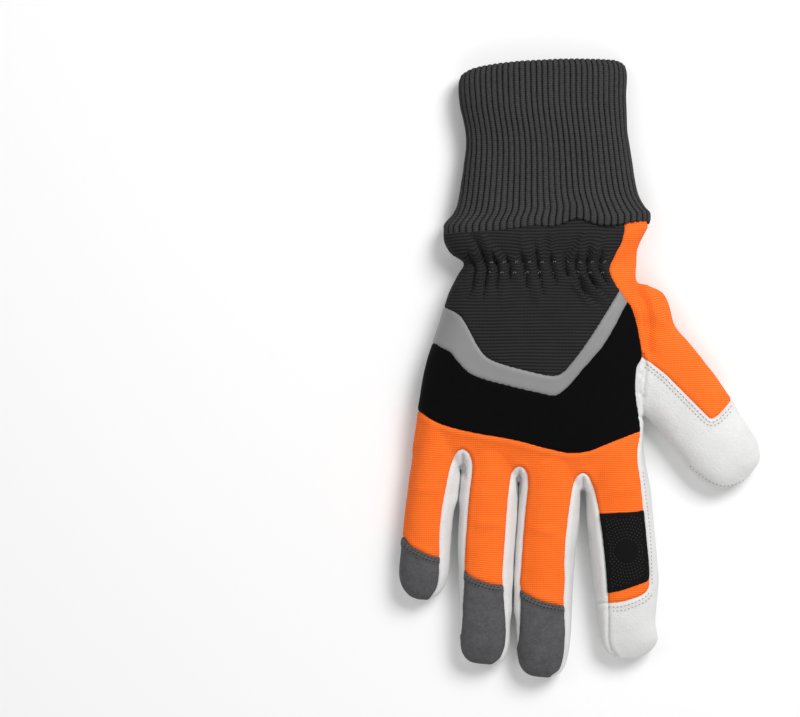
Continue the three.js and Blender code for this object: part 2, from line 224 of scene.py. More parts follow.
def relaxed(points: np.ndarray, edges: np.ndarray, share: float | np.ndarray, rounds: int,
            keep: bool = True) -> np.ndarray:
    """Moves each vertex by a share of the way to the mean of its neighbours, several times over.

    Args:
        points: vertices.
        edges: pairs of vertices.
        share: how far each round moves them, for all or for each vertex.
        rounds: number of rounds.
        keep: whether every second round goes back a little more, which keeps the size.

    Returns:
        The new vertices.
    """
    count = np.bincount(edges.ravel(), minlength=len(points))[:, None]
    weight = np.broadcast_to(np.asarray(share, float), (len(points),))[:, None]
    for k in range(rounds):
        total = np.empty_like(points)
        for axis in range(3):
            here = np.bincount(edges[:, 0], points[edges[:, 1], axis], len(points))
            there = np.bincount(edges[:, 1], points[edges[:, 0], axis], len(points))
            total[:, axis] = here + there
        points = points + weight * (-1.04 if keep and k % 2 else 1.0) * (total / count - points)
    return points


def make_object(name: str, points: np.ndarray, faces: np.ndarray, crease: float = 45.0,
                weave: np.ndarray | None = None) -> bpy.types.Object:
    """Puts arrays into a mesh object with smooth faces, at the world's origin.

    Args:
        name: name of the piece.
        points: vertices, in mm.
        faces: triangles or quads.
        crease: angle in degrees past which an edge is sharp.
        weave: where each vertex lies in the cloth's own weave, in mm; the vertices themselves if not given.

    Returns:
        The object, linked to the scene.
    """
    mesh = bpy.data.meshes.new(name)
    sides = faces.shape[1]
    mesh.vertices.add(len(points))
    mesh.vertices.foreach_set("co", (points * MM).astype(np.float32).ravel())
    mesh.loops.add(faces.size)
    mesh.loops.foreach_set("vertex_index", faces.astype(np.int32).ravel())
    mesh.polygons.add(len(faces))
    mesh.polygons.foreach_set("loop_start", np.arange(0, faces.size, sides, dtype=np.int32))
    mesh.polygons.foreach_set("use_smooth", np.ones(len(faces), bool))
    mesh.update(calc_edges=True)
    mesh.set_sharp_from_angle(angle=math.radians(crease))
    layer = mesh.attributes.new("weave", "FLOAT_VECTOR", "POINT")
    layer.data.foreach_set("vector", ((points if weave is None else weave) * MM).astype(np.float32).ravel())
    made = bpy.data.objects.new(name, mesh)
    bpy.context.scene.collection.objects.link(made)
    return made


def with_wall(points: np.ndarray, faces: np.ndarray, inward: np.ndarray) -> tuple:
    """Gives an open skin a second face and a rim, so that it is one closed wall.

    Args:
        points: vertices of the outside.
        faces: triangles of the outside.
        inward: step from each vertex to the inside.

    Returns:
        Vertices and triangles of the closed wall.
    """
    count = len(points)
    pairs = np.concatenate([faces[:, [0, 1]], faces[:, [1, 2]], faces[:, [2, 0]]])
    key = np.sort(pairs, axis=1) @ np.array([count, 1])
    _, first, uses = np.unique(key, return_index=True, return_counts=True)
    a, b = pairs[first[uses == 1]].T
    rim = np.concatenate([np.stack([b, a, a + count], 1), np.stack([b, a + count, b + count], 1)])
    closed = np.concatenate([faces, faces[:, ::-1] + count, rim])
    return np.concatenate([points, points + inward]), closed


def compact(points: np.ndarray, faces: np.ndarray) -> tuple:
    """Drops the vertices that no face uses, and gives those kept, the faces and the old numbers."""
    used, numbers = np.unique(faces, return_inverse=True)
    return points[used], numbers.reshape(faces.shape), used


def merged(shells: list) -> tuple:
    """Puts meshes together as one.

    Args:
        shells: vertices and faces of each.

    Returns:
        Vertices and faces of them all.
    """
    starts = np.cumsum([0] + [len(points) for points, _ in shells])
    faces = [faces + start for (_, faces), start in zip(shells, starts)]
    return np.vstack([points for points, _ in shells]), np.concatenate(faces)


def tree_of(points: np.ndarray, faces: np.ndarray) -> BVHTree:
    """A tree of the faces, which finds where a ray meets them."""
    return BVHTree.FromPolygons(points.tolist(), faces.tolist())


def grid_faces(rows: int, columns: int, closed: bool) -> np.ndarray:
    """Quads of a grid of vertices.

    Args:
        rows: number of rows.
        columns: number of vertices in a row.
        closed: whether each row closes on itself.

    Returns:
        The quads.
    """
    across = np.arange(columns if closed else columns - 1)
    a = (np.arange(rows - 1)[:, None] * columns + across).ravel()
    step = (np.arange(rows - 1)[:, None] * columns + (across + 1) % columns).ravel()
    return np.stack([a, step, step + columns, a + columns], 1)


# The measured sections of the glove, in mm


class Form(Enum):
    """How round a section is: exponents of its upper and lower halves, widest height and underside."""

    HAND = (2.7, 5.0, 10.0, 1.3)
    DIGIT = (2.3, 3.2, 9.0, 0.0)
    CUFF = (2.6, 3.2, 10.0, 2.5)


PRESSED = 1.12  # how far the lower half is pressed flat by the table
LOWEST = 0.02  # z of the underside where the glove lies on the table
LEAST_RISE = 0.6  # of a section above its widest line
TIP_ROUND = 7.0  # radius of the underside at the end of a finger

HAND_ROWS = [  # y, left, right, top, slant
    [76.0, -68.0, 35.0, 25.0, 0.036], [71.0, -68.0, 35.0, 25.5, 0.036], [65.0, -67.6, 32.0, 26.6, 0.03],
    [59.0, -64.6, 29.0, 26.0, 0.02], [52.3, -57.6, 28.3, 23.4, 0], [45.5, -61.0, 28.0, 25.4, 0],
    [37.0, -65.3, 30.6, 28.0, 0], [21.5, -70.0, 34.0, 29.4, 0], [3.0, -76.5, 33.0, 29.4, 0],
    [-14.0, -79.4, 31.2, 28.2, -0.02], [-32.0, -81.5, 31.3, 25.8, -0.08], [-43.0, -82.9, 32.0, 22.6, -0.13],
    [-51.0, -83.6, 32.6, 19.4, -0.18], [-55.5, -83.6, 33.0, 15.6, -0.2],
]
FINGER_ROWS = {  # y, left, right, top
    "little": [
        [-24, -79.5, -59.6, 21.5], [-41, -83.0, -60.0, 21.0], [-51, -84.5, -60.5, 20.4],
        [-61, -85.8, -61.4, 20.0], [-76, -87.5, -63.6, 19.6], [-91, -88.6, -65.0, 19.0],
        [-101, -89.5, -65.5, 18.2], [-107, -89.0, -66.6, 16.8], [-111, -87.2, -68.6, 15.0],
        [-114, -84.2, -71.8, 12.8], [-115.7, -80.5, -76.0, 10.8],
    ],
    "ring": [
        [-28, -57.6, -31.0, 22.5], [-44, -58.2, -31.0, 22.2], [-56, -58.8, -31.6, 21.8],
        [-71, -60.0, -32.2, 21.2], [-86, -60.7, -33.3, 20.8], [-101, -60.2, -34.1, 20.4],
        [-116, -59.8, -34.6, 19.8], [-130, -59.8, -35.0, 18.8], [-137, -59.4, -35.4, 17.4],
        [-140.5, -58.9, -35.8, 16.2], [-144, -57.6, -36.8, 14.6], [-146.6, -55.0, -39.0, 12.8],
        [-148, -50.0, -43.5, 10.8],
    ],
    "middle": [
        [-30, -30.0, 0.3, 22.8], [-48, -30.0, 0.3, 22.5], [-61, -29.6, 0.4, 22.0],
        [-76, -30.0, -0.3, 21.5], [-91, -31.2, -1.8, 21.0], [-106, -32.0, -3.0, 20.5],
        [-121, -32.1, -3.8, 20.0], [-136, -31.4, -4.8, 19.0], [-143, -30.6, -6.0, 17.6],
        [-148, -29.6, -7.4, 15.8], [-151.4, -27.8, -9.0, 14.0], [-153.6, -24.6, -11.8, 12.2],
        [-154.4, -20.0, -15.5, 10.8],
    ],
    "index": [
        [-30, 1.8, 30.5, 22.5], [-48, 2.0, 33.0, 22.2], [-61, 3.0, 35.5, 21.8],
        [-76, 3.8, 36.8, 21.3], [-91, 5.2, 38.3, 20.8], [-106, 6.8, 39.6, 20.0],
        [-118, 8.3, 38.9, 18.8], [-128, 9.7, 38.2, 17.6], [-136, 11.0, 39.4, 15.8],
        [-141, 13.0, 36.5, 13.6], [-145.2, 18.5, 29.5, 11.0],
    ],
}
THUMB_ROOT = np.array([35.0, 19.0])
THUMB_TURN = math.radians(37)
THUMB_ROWS = [  # along, left, right, top, along the thumb's own -Y before it is turned
    [24, -20.0, 8.0, 20.5], [17, -26.0, 13.4, 21.5], [11, -27.5, 16.2, 22.0], [4, -28.0, 15.0, 21.5],
    [-6, -28.0, 11.2, 20.8], [-16, -28.0, 11.8, 20.4], [-30, -28.0, 12.4, 20.4], [-43, -26.0, 12.3, 20.2],
    [-56, -25.7, 11.1, 19.8], [-69, -25.6, 10.2, 18.8], [-76, -24.0, 9.4, 17.6], [-81, -21.6, 7.6, 16.0],
    [-85, -18.2, 4.6, 13.8], [-88.3, -11.5, -3.5, 11.0],
]
CUFF_ROWS = [  # y, left, right, top, slant
    [152.6, -59.8, 22.9, 20.4, 0], [150.4, -60.7, 23.7, 21.2, 0], [131.5, -59.8, 23.2, 22.0, 0.01],
    [112.0, -57.2, 25.1, 22.0, 0], [86.5, -60.0, 29.3, 23.2, 0.01], [79.0, -62.8, 32.4, 24.8, 0.02],
    [74.0, -68.0, 35.2, 26.4, 0.036], [71.0, -68.2, 35.2, 26.2, 0.036],
]

# Seams in plan, in mm. Those of the back run from the little finger's side to the thumb's side.
STRIPE_UPPER = [
    [-74, 34], [-67.3, 30], [-62.5, 27.5], [-60, 25.5], [-58, 22.5], [-55, 17], [-51.5, 10.5], [-48, 6],
    [-45, 4], [-40, 2], [-30, -0.8], [-20, -3.2], [-15.5, -4], [-12.5, -3.8], [-9, -2], [-5, 2.5], [0, 9],
    [10, 24], [19, 38.5], [23, 45],
]
STRIPE_LOWER = [
    [-80, 15.5], [-73, 12.5], [-70, 10.5], [-65, 7.8], [-62.5, 4.5], [-58.5, 0], [-56, -2.2], [-50, -5],
    [-40, -7.8], [-30, -10.3], [-20, -12.5], [-15.5, -13.5], [-13, -13.5], [-10, -11.8], [-4, -6], [0, -1],
    [10, 10.5], [16, 20], [20, 27.5], [26, 38],
]
KNUCKLE_LINE = [
    [-90, -17.5], [-79.8, -22], [-75, -25.3], [-70, -27.8], [-65, -29.5], [-60, -30.8], [-50, -32.8],
    [-40, -34.5], [-30, -36.5], [-20, -39.3], [-15, -40.5], [-10, -41.7], [-5, -42.3], [0, -42], [5, -41],
    [10, -39], [15, -37], [20, -35], [29.2, -31.6], [36, -29],
]
BACK_EDGE = [  # between the back and the thumb's cloth, then the strip, down to the end of the index cloth
    [22.4, 80], [22, 70.5], [21.2, 66], [20, 61.5], [18.2, 58.5], [16, 54], [14.1, 50], [14.3, 47],
    [16.8, 42], [19, 39], [22, 34.5], [25, 30.5], [26.7, 26], [28, 21.5], [29, 16], [29.8, 11],
    [30.2, 5.5], [28.2, 1.5], [27.4, -3], [27.2, -10], [27.6, -16], [28.3, -22], [29.0, -31], [28.9, -36],
    [28.4, -41], [28.5, -46], [30, -56], [31.5, -71], [32.4, -81], [33.5, -91], [34.1, -99], [34.3, -105],
    [34.3, -108], [33, -111], [30, -113.2], [25, -115], [20.5, -116.3], [13.5, -117.2], [4, -117.6],
]
THUMB_END = [
    [30.2, 5.5], [33.3, 3.6], [37.5, 0.5], [42.5, -3.5], [47.5, -8.5], [55, -16], [60, -21], [63.8, -24.6],
]
THUMB_END_UP = [[63.8, -24.6], [65, -25.2], [67.5, -24], [71, -20.8], [75.8, -16], [80, -12], [88, -5]]
STRIP_EDGE = [[30.2, 5.5], [32.0, 4.0], [32.2, 0], [31.6, -8], [31.0, -18], [31.3, -22.8], [32.2, -28]]
WRIST_UNDER = [
    [2.5, 82], [3.5, 75], [5, 67], [8, 58], [13, 48], [20.5, 41], [28, 34], [40.5, 21.5], [53, 8.5],
    [65.5, -4.5], [72.5, -11], [78.5, -17], [84, -22],
]
CAP_LINES = {
    "little": [
        [-94, -81], [-88.3, -84.5], [-85, -88.5], [-80, -91.3], [-75, -93.5], [-69.8, -94.5], [-60, -95],
    ],
    "ring": [[-62, -98], [-57.8, -101], [-55, -104], [-50, -106], [-45, -107.5], [-39, -108.3], [-30, -109]],
    "middle": [
        [-36, -108], [-30, -111], [-25, -114], [-20, -116], [-15, -117.3], [-8.2, -118.6], [0, -119.5],
    ],
}


@dataclass(frozen=True)
class Gap:
    """The white strip between two fingers, from one seam round the crotch to the other.

    Attributes:
        fingers: the fingers to its left and right, seen from above.
        left: its seam on the back of the left finger, from the tip up.
        crotch: points round the crotch.
        right: its seam on the back of the right finger, down to the tip.
    """

    fingers: tuple
    left: list
    crotch: list
    right: list

    def above(self) -> Seam:
        """The seam on the back, with the field above zero on the strip."""
        line = [*self.left, *self.crotch, *self.right]
        return Seam(line, [[line[-1][0], -170], [line[0][0], -170]])

    def below(self) -> Seam:
        """The seam on the palm side, in from both edges, round a crotch that lies nearer to the tips.

        Returns:
            The seam, with the field above zero on the strip.
        """
        inset, lower, radius = 3.0, 7.0, 4.0
        middle, top = self.crotch[len(self.crotch) // 2]
        first = np.array(FINGER_ROWS[self.fingers[0]], float)
        last = np.array(FINGER_ROWS[self.fingers[1]], float)
        first, last = first[first[:, 0] < top - 3 * radius], last[last[:, 0] < top - 3 * radius]
        left = np.stack([first[:-1, 2] - inset, first[:-1, 0]], 1)[::-1]
        right = np.stack([last[:-1, 1] + inset, last[:-1, 0]], 1)
        turn = np.radians([150, 90, 30])
        bend = np.stack([middle + radius * np.cos(turn), top - lower - radius + radius * np.sin(turn)], 1)
        line = np.vstack([left, bend, right])
        return Seam(line.tolist(), [[line[-1][0], -170], [line[0][0], -170]])


GAPS = {
    "little_ring": Gap(
        ("little", "ring"),
        [[-76, -120], [-74, -114], [-72, -111], [-70.75, -106], [-70.25, -96], [-70, -81], [-69, -71],
         [-67.25, -61], [-65.25, -51], [-63.6, -46]],
        [[-61.8, -42.2], [-59, -40.5], [-56, -42.2]],
        [[-54.4, -46], [-54.2, -51], [-54.75, -56], [-56, -66], [-57.25, -81], [-58, -96], [-58.1, -106],
         [-58.7, -116], [-59.0, -125], [-59.4, -131], [-60, -137], [-61, -143], [-62, -152]],
    ),
    "ring_middle": Gap(
        ("ring", "middle"),
        [[-45, -153], [-43, -148.2], [-40, -145.3], [-38.25, -141], [-37.25, -136], [-37, -131], [-38, -116],
         [-38.8, -106], [-38.5, -96], [-37.15, -81], [-36.15, -66], [-34.9, -56], [-34, -52]],
        [[-32.6, -50], [-30.5, -49], [-28.4, -50]],
        [[-27, -52], [-26.5, -56], [-26.6, -61], [-27.8, -71], [-29, -86], [-30, -101], [-30.5, -106],
         [-30.2, -111], [-30.4, -126], [-30.6, -133], [-31.2, -139], [-32, -145], [-33, -156]],
    ),
    "middle_index": Gap(
        ("middle", "index"),
        [[-14.5, -158], [-14, -154], [-10.5, -151], [-8.75, -146], [-8, -141], [-7.6, -131], [-8.5, -116],
         [-7.8, -106], [-8, -96], [-7, -81], [-5, -66], [-3, -56.5]],
        [[-1.4, -53.6], [1, -52.3], [3.4, -53.6]],
        [[5, -56.5], [6.5, -61], [8.75, -71], [11, -86], [12.65, -101], [13.5, -116], [13.7, -126],
         [14, -136], [15.5, -141], [18, -144], [20, -150]],
    ),
}
SLITS = {"little_ring": (-49, -72), "ring_middle": (-55, -128)}  # where neighbours touch, from and to along Y
TOUCH_OUTLINE = [
    [9.2, -72.3], [12, -72.2], [20, -71.8], [28, -71.3], [31.6, -71.0], [31.9, -73], [32.8, -83],
    [33.6, -93], [34.2, -103], [33.2, -105.6], [28, -107.8], [20, -110.6], [15, -111.8], [13.3, -112],
    [13, -108], [12.2, -98], [10.8, -85], [9.4, -75], [9.2, -72.3],
]
PADS = {
    "knuckles": [
        [18, -34], [13, -39.5], [3, -45], [-6, -51], [-10.5, -51.8], [-27, -50], [-44.5, -45], [-57, -44.5],
        [-66, -42], [-72, -39], [-75.5, -34], [-76, -27.5], [-73, -12.5], [-71, -7], [-69, -6.5], [-57, -13],
        [-32, -20.5], [10.5, -28], [16.5, -29], [18, -34],
    ],
    "thumb_ball": [
        [14, -12.5], [13, -16.5], [9, -19], [3, -19.5], [-18, -17], [-21, -15.5], [-34.5, 5], [-36.5, 8.5],
        [-35.5, 11], [-12, 34], [-3, 46], [0, 46], [3, 42.5], [6.5, 32.5], [11.5, 10], [14, -12.5],
    ],
    "heel": [
        [-33.5, -11], [-37, -12], [-57, -6], [-64.5, -2], [-68, 1.5], [-68.5, 7.5], [-65, 27.5], [-59, 51.5],
        [-54.5, 53], [-32, 51.5], [-18, 50], [-15, 48.5], [-15.5, 45], [-37, 24], [-43, 17.5], [-45, 11],
        [-43.5, 4], [-33.5, -11],
    ],
}
WRIST_Y = 71.0  # where the hand meets the cuff
QUILTING = (1.3, 3.4)  # distances of a pad's two rows of stitches from its edge
SIDE_SEAM = 4.5  # height of the seam along the little finger's side of the hand
THUMB_SEAM = 9.0  # height of the seam round the end of the thumb


FINGER_ENDS = [  # x, and the y about which the edge of the upper seams comes down to the side seam
    [-90, -104], [-66, -104], [-64, -136], [-34, -136], [-32, -142], [-6, -142], [-4, -133], [40, -133],
]


def upper_edge(points: np.ndarray) -> np.ndarray:
    """Height over which each point belongs to the upper seams: the thumb's seam, lower at the fingers' ends.

    Args:
        points: places, in mm.

    Returns:
        A height for each point.
    """
    ends_x, ends_y = np.array(FINGER_ENDS, float).T
    past = points[:, 1] - np.interp(points[:, 0], ends_x, ends_y)
    return SIDE_SEAM + (THUMB_SEAM - SIDE_SEAM) * ramp(past, -8, 6)


def on_thumb(points: np.ndarray) -> np.ndarray:
    """Turns points given along the thumb into place about its root.

    Args:
        points: places along the thumb's own -Y, in mm.

    Returns:
        The places on the glove.
    """
    turned = points.copy()
    c, s = math.cos(THUMB_TURN), math.sin(THUMB_TURN)
    turned[:, 0] = points[:, 0] * c - points[:, 1] * s + THUMB_ROOT[0]
    turned[:, 1] = points[:, 0] * s + points[:, 1] * c + THUMB_ROOT[1]
    return turned


def sections(table: np.ndarray, form: Form, angle: np.ndarray, floor: np.ndarray | float) -> tuple:
    """Superellipses above their widest line and flatter ones below.

    x is the middle plus half the width times the cosine, and z is the widest height plus the rise times the
    rest of the superellipse, or less the fall times as much, pressed flat at the floor.

    Args:
        table: y, left, right and top of each section.
        form: how round the sections are.
        angle: where the points lie round a section.
        floor: height of each section's underside.

    Returns:
        x and z of the points, and x of each section's middle.
    """
    above, below, middle, _ = form.value
    left, right, top = table[:, 1:4].T
    across = np.cos(angle)
    power = np.where(np.sin(angle) >= 0, above, below)
    rest = np.maximum(0, 1 - np.abs(across) ** power) ** (1 / power)
    rise = np.maximum(LEAST_RISE, top - middle)[:, None]
    fall = (middle - np.broadcast_to(floor, len(table)))[:, None]
    z = np.where(np.sin(angle) >= 0, middle + rise * rest, middle - np.minimum(fall, fall * PRESSED * rest))
    centre = ((left + right) / 2)[:, None]
    return centre + ((right - left) / 2)[:, None] * across, z, centre


def loft(rows: list, form: Form, sides: int, step: float) -> tuple:
    """A closed form through sections.

    The underside of a digit curves up to its end along a quarter of a circle.

    Args:
        rows: y, left, right, top and, for the hand, slant of each section.
        form: how round the sections are.
        sides: points round a section.
        step: greatest distance between sections.

    Returns:
        Vertices and triangles.
    """
    table = smooth_curve(rows, step)
    y = table[:, 0]
    slant = table[:, 4] if table.shape[1] > 4 else np.zeros(len(table))
    floor = np.full(len(table), form.value[3])
    if form is Form.DIGIT:
        short = np.clip(1 - (y - y.min()) / TIP_ROUND, 0, 1)
        floor = TIP_ROUND * (1 - np.sqrt(np.clip(1 - short**2, 0, 1)))
    x, z, centre = sections(table, form, TAU * np.arange(sides) / sides, floor)
    points = np.stack([x, y[:, None] + slant[:, None] * (x - centre), z], 2).reshape(-1, 3)
    quads = grid_faces(len(table), sides, True)
    triangles = np.concatenate([quads[:, [0, 1, 2]], quads[:, [0, 2, 3]]])
    ends = np.array([points[:sides].mean(0), points[-sides:].mean(0)])
    k, after = np.arange(sides), (np.arange(sides) + 1) % sides
    start = np.full(sides, len(points))
    last = len(points) - sides
    caps = [np.stack([start, after, k], 1), np.stack([start + 1, last + k, last + after], 1)]
    return np.vstack([points, ends]), np.concatenate([triangles, *caps])


class Skin:
    """The outside of the hand as a triangle mesh that can be scored along seams."""

    def __init__(self, points: np.ndarray, faces: np.ndarray) -> None:
        """Takes a mesh.

        Args:
            points: vertices, in mm.
            faces: triangles.
        """
        self.points = points
        self.faces = faces
        self.fields: dict[str, np.ndarray] = {}

    @classmethod
    def joined(cls, shells: list, voxel: float) -> "Skin":
        """Joins closed forms that overlap into one skin.

        Args:
            shells: vertices and triangles of each form.
            voxel: size of the grid that joins them, in mm.

        Returns:
            The skin.
        """
        points, faces = merged(shells)
        rough = make_object("hand_forms", points, faces)
        remesh = rough.modifiers.new("join", "REMESH")
        remesh.mode = "VOXEL"
        remesh.voxel_size = voxel * MM
        shown = rough.evaluated_get(bpy.context.evaluated_depsgraph_get())
        mesh = shown.to_mesh()
        mesh.calc_loop_triangles()
        places = np.empty(len(mesh.vertices) * 3, np.float32)
        mesh.vertices.foreach_get("co", places)
        triangles = np.empty(len(mesh.loop_triangles) * 3, np.int32)
        mesh.loop_triangles.foreach_get("vertices", triangles)
        shown.to_mesh_clear()
        bpy.data.objects.remove(rough)
        return cls(places.reshape(-1, 3).astype(float) / MM, triangles.reshape(-1, 3).astype(np.int64))

    def smooth(self, crotches: tuple) -> None:
        """Takes the grid's steps out, and rounds the places where forms meet.

        Args:
            crotches: x, y and radius of the places to round more.
        """
        edges = edges_of(self.faces)
        self.points = relaxed(self.points, edges, 0.6, 12)
        weight = np.zeros(len(self.points))
        for x, y, radius in crotches:
            away = np.hypot(self.points[:, 0] - x, self.points[:, 1] - y)
            weight = np.maximum(weight, bell(away, radius))
        self.points = relaxed(self.points, edges, 0.6 * weight, 9, keep=False)

    def score(self, name: str, allowed: np.ndarray, grip: float = 0.12) -> None:
        """Splits the triangles along the line where a field is zero, so that pieces part cleanly there.

        Args:
            name: the field.
            allowed: for each vertex, whether edges that end there may be split.
            grip: a vertex with a field nearer to zero than this, in mm, is taken as on the line.
        """
        values = self.fields[name]
        values[np.abs(values) < grip] = 0.0
        pairs = np.concatenate([self.faces[:, [0, 1]], self.faces[:, [1, 2]], self.faces[:, [2, 0]]])
        low, high = pairs.min(1), pairs.max(1)
        cut = (values[low] * values[high] < 0) & allowed[low] & allowed[high]
        key = low * len(self.points) + high
        found, number = np.unique(key[cut], return_inverse=True)
        a, b = found // len(self.points), found % len(self.points)
        share = (values[a] / (values[a] - values[b]))[:, None]
        base = len(self.points)
        self.points = np.vstack([self.points, self.points[a] * (1 - share) + self.points[b] * share])
        for other, field_values in self.fields.items():
            new = field_values[a] * (1 - share[:, 0]) + field_values[b] * share[:, 0]
            self.fields[other] = np.concatenate([field_values, new * (other != name)])
        middle = np.full(len(pairs), -1)
        middle[cut] = base + number
        middle = middle.reshape(3, -1).T
        has = middle >= 0
        count = has.sum(1)
        parts = [self.faces[count == 0]]
        for corner in range(3):
            order = [corner, (corner + 1) % 3, (corner + 2) % 3]
            one = (count == 1) & has[:, corner]
            p, q, r = self.faces[one][:, order].T
            m = middle[one, corner]
            parts += [np.stack([p, m, r], 1), np.stack([m, q, r], 1)]
            two = (count == 2) & ~has[:, order[1]]
            p, q, r = self.faces[two][:, order].T
            m, n = middle[two, order[0]], middle[two, order[2]]
            parts += [np.stack([p, m, n], 1), np.stack([m, q, r], 1), np.stack([m, r, n], 1)]
        three = count == 3
        p, q, r = self.faces[three].T
        m, n, o = middle[three].T
        parts += [np.stack(s, 1) for s in ((p, m, o), (m, q, n), (o, n, r), (m, n, o))]
        self.faces = np.concatenate(parts)

    def at_faces(self, name: str) -> np.ndarray:
        """A field's mean over each triangle."""
        return self.fields[name][self.faces].mean(1)


@dataclass(frozen=True)
class Fold:
    """A ridge, or with a height below zero a crease, along a line on the back of the glove, in mm."""

    x0: float
    y0: float
    x1: float
    y1: float
    width: float
    height: float

    def at(self, points: np.ndarray) -> np.ndarray:
        """Height of the fold: a bell across the line that fades towards its ends.

        Args:
            points: places, in mm.

        Returns:
            The height at each point.
        """
        start, run = np.array([self.x0, self.y0]), np.array([self.x1 - self.x0, self.y1 - self.y0])
        length = math.hypot(*run)
        gap = points[:, :2] - start
        along = gap @ run / length
        across = (gap[:, 0] * run[1] - gap[:, 1] * run[0]) / length
        fade = ramp(along, -0.25 * length, 0.25 * length) * (1 - ramp(along, 0.75 * length, 1.25 * length))
        return self.height * bell(across, self.width) * fade


FOLDS = [
    Fold(-51, 68, -41, 54, 1.5, 1.3), Fold(-56, 67, -46, 53, 1.5, -1.1), Fold(-9, 46.5, 4, 31, 1.3, 1.3),
    Fold(-3, 48, 12, 33, 1.3, 1.5), Fold(-6, 46.5, 8, 31.5, 1.1, -1.3), Fold(0.5, 48, 15, 34, 1.1, -1.1),
    Fold(-55, 46.5, -62, 38, 1.5, 1.2), Fold(-50, 46, -58, 35, 1.4, -1.0),
    Fold(-20, 46, -22, 34, 1.7, 0.8), Fold(-36, 46, -40, 33, 1.7, 0.8), Fold(-14, 67, -16, 54, 1.5, 1.1),
    Fold(-18, 66, -19, 54, 1.3, -0.8), Fold(-30, 67, -29, 55, 1.8, 0.8), Fold(2, 67, -4, 55, 1.5, 1.1),
    Fold(-2, 66, -8, 55, 1.3, -0.9), Fold(12, 67, 5, 55, 1.6, 0.9), Fold(29.4, 3, 29.4, -40, 1.4, 1.3),
    Fold(-59, -43, -58, -54, 0.9, -2.0), Fold(-30.5, -51, -30.6, -62, 0.9, -2.0),
    Fold(1, -54.5, 2, -64, 0.9, -2.0), Fold(25, 43, 32.6, 32, 2.0, -1.5),
    Fold(32.6, 33, 33.6, 20, 2.1, -1.5), Fold(33.6, 23, 33.1, 5, 2.1, -1.3),
    Fold(32, 40, 39.5, 22, 2.8, 1.8), Fold(39.5, 24, 38.5, 8, 3.0, 1.2), Fold(24, 36, 30.5, 24, 1.8, 0.8),
    Fold(-70, -60, -82, -61, 2.2, 0.6), Fold(-40, -78, -52, -77, 2.4, 0.6),
    Fold(-12, -82, -25, -80, 2.4, 0.6), Fold(16, -62, 26, -60, 2.4, 0.6), Fold(31.0, 9, 33.6, 3, 1.2, 2.0),
    Fold(28.9, -2, 31.5, -6, 0.9, -0.9), Fold(28.4, -12, 31.5, -15, 0.9, -0.9),
    Fold(28.9, -24, 32.5, -26, 0.9, -0.8),
]
CUFF_EDGE = [  # the lower edge of the cuff on the back, as x and y
    [-72, 69.0], [-60, 69.3], [-50, 69.6], [-40, 70.2], [-30, 71.2], [-22.5, 71.9], [-15, 71.1],
    [-10, 72.2], [-6, 73.8], [-2.5, 74.9], [1, 74.0], [5, 72.3], [10, 71], [15, 70.6], [20, 71.2],
    [25, 72], [30, 72.6], [38, 73],
]
MOUTH_Y = 153.9  # y of the end of a cuff with a straight mouth
MOUTH_EDGE = [  # the end of the cuff at its mouth
    [-60.5, 146.4], [-58.5, 147.7], [-55, 149.4], [-50, 150.6], [-45, 151.4], [-40, 152.1], [-30, 153.1],
    [-20, 153.6], [-10, 154.1], [0, 154.2], [10, 154.1], [17.5, 153.8], [21, 153.0], [23.2, 151.4],
    [24, 149.8],
]


def cuff_edge(points: np.ndarray) -> np.ndarray:
    """Where the cuff ends: a waved line on the back and a straight one below.

    Args:
        points: places, in mm.

    Returns:
        y of the edge over each point.
    """
    line = np.array(CUFF_EDGE)
    back = np.interp(points[:, 0], line[:, 0], line[:, 1])
    share = ramp(points[:, 2], 6, 14)
    return back * share + WRIST_Y * (1 - share)


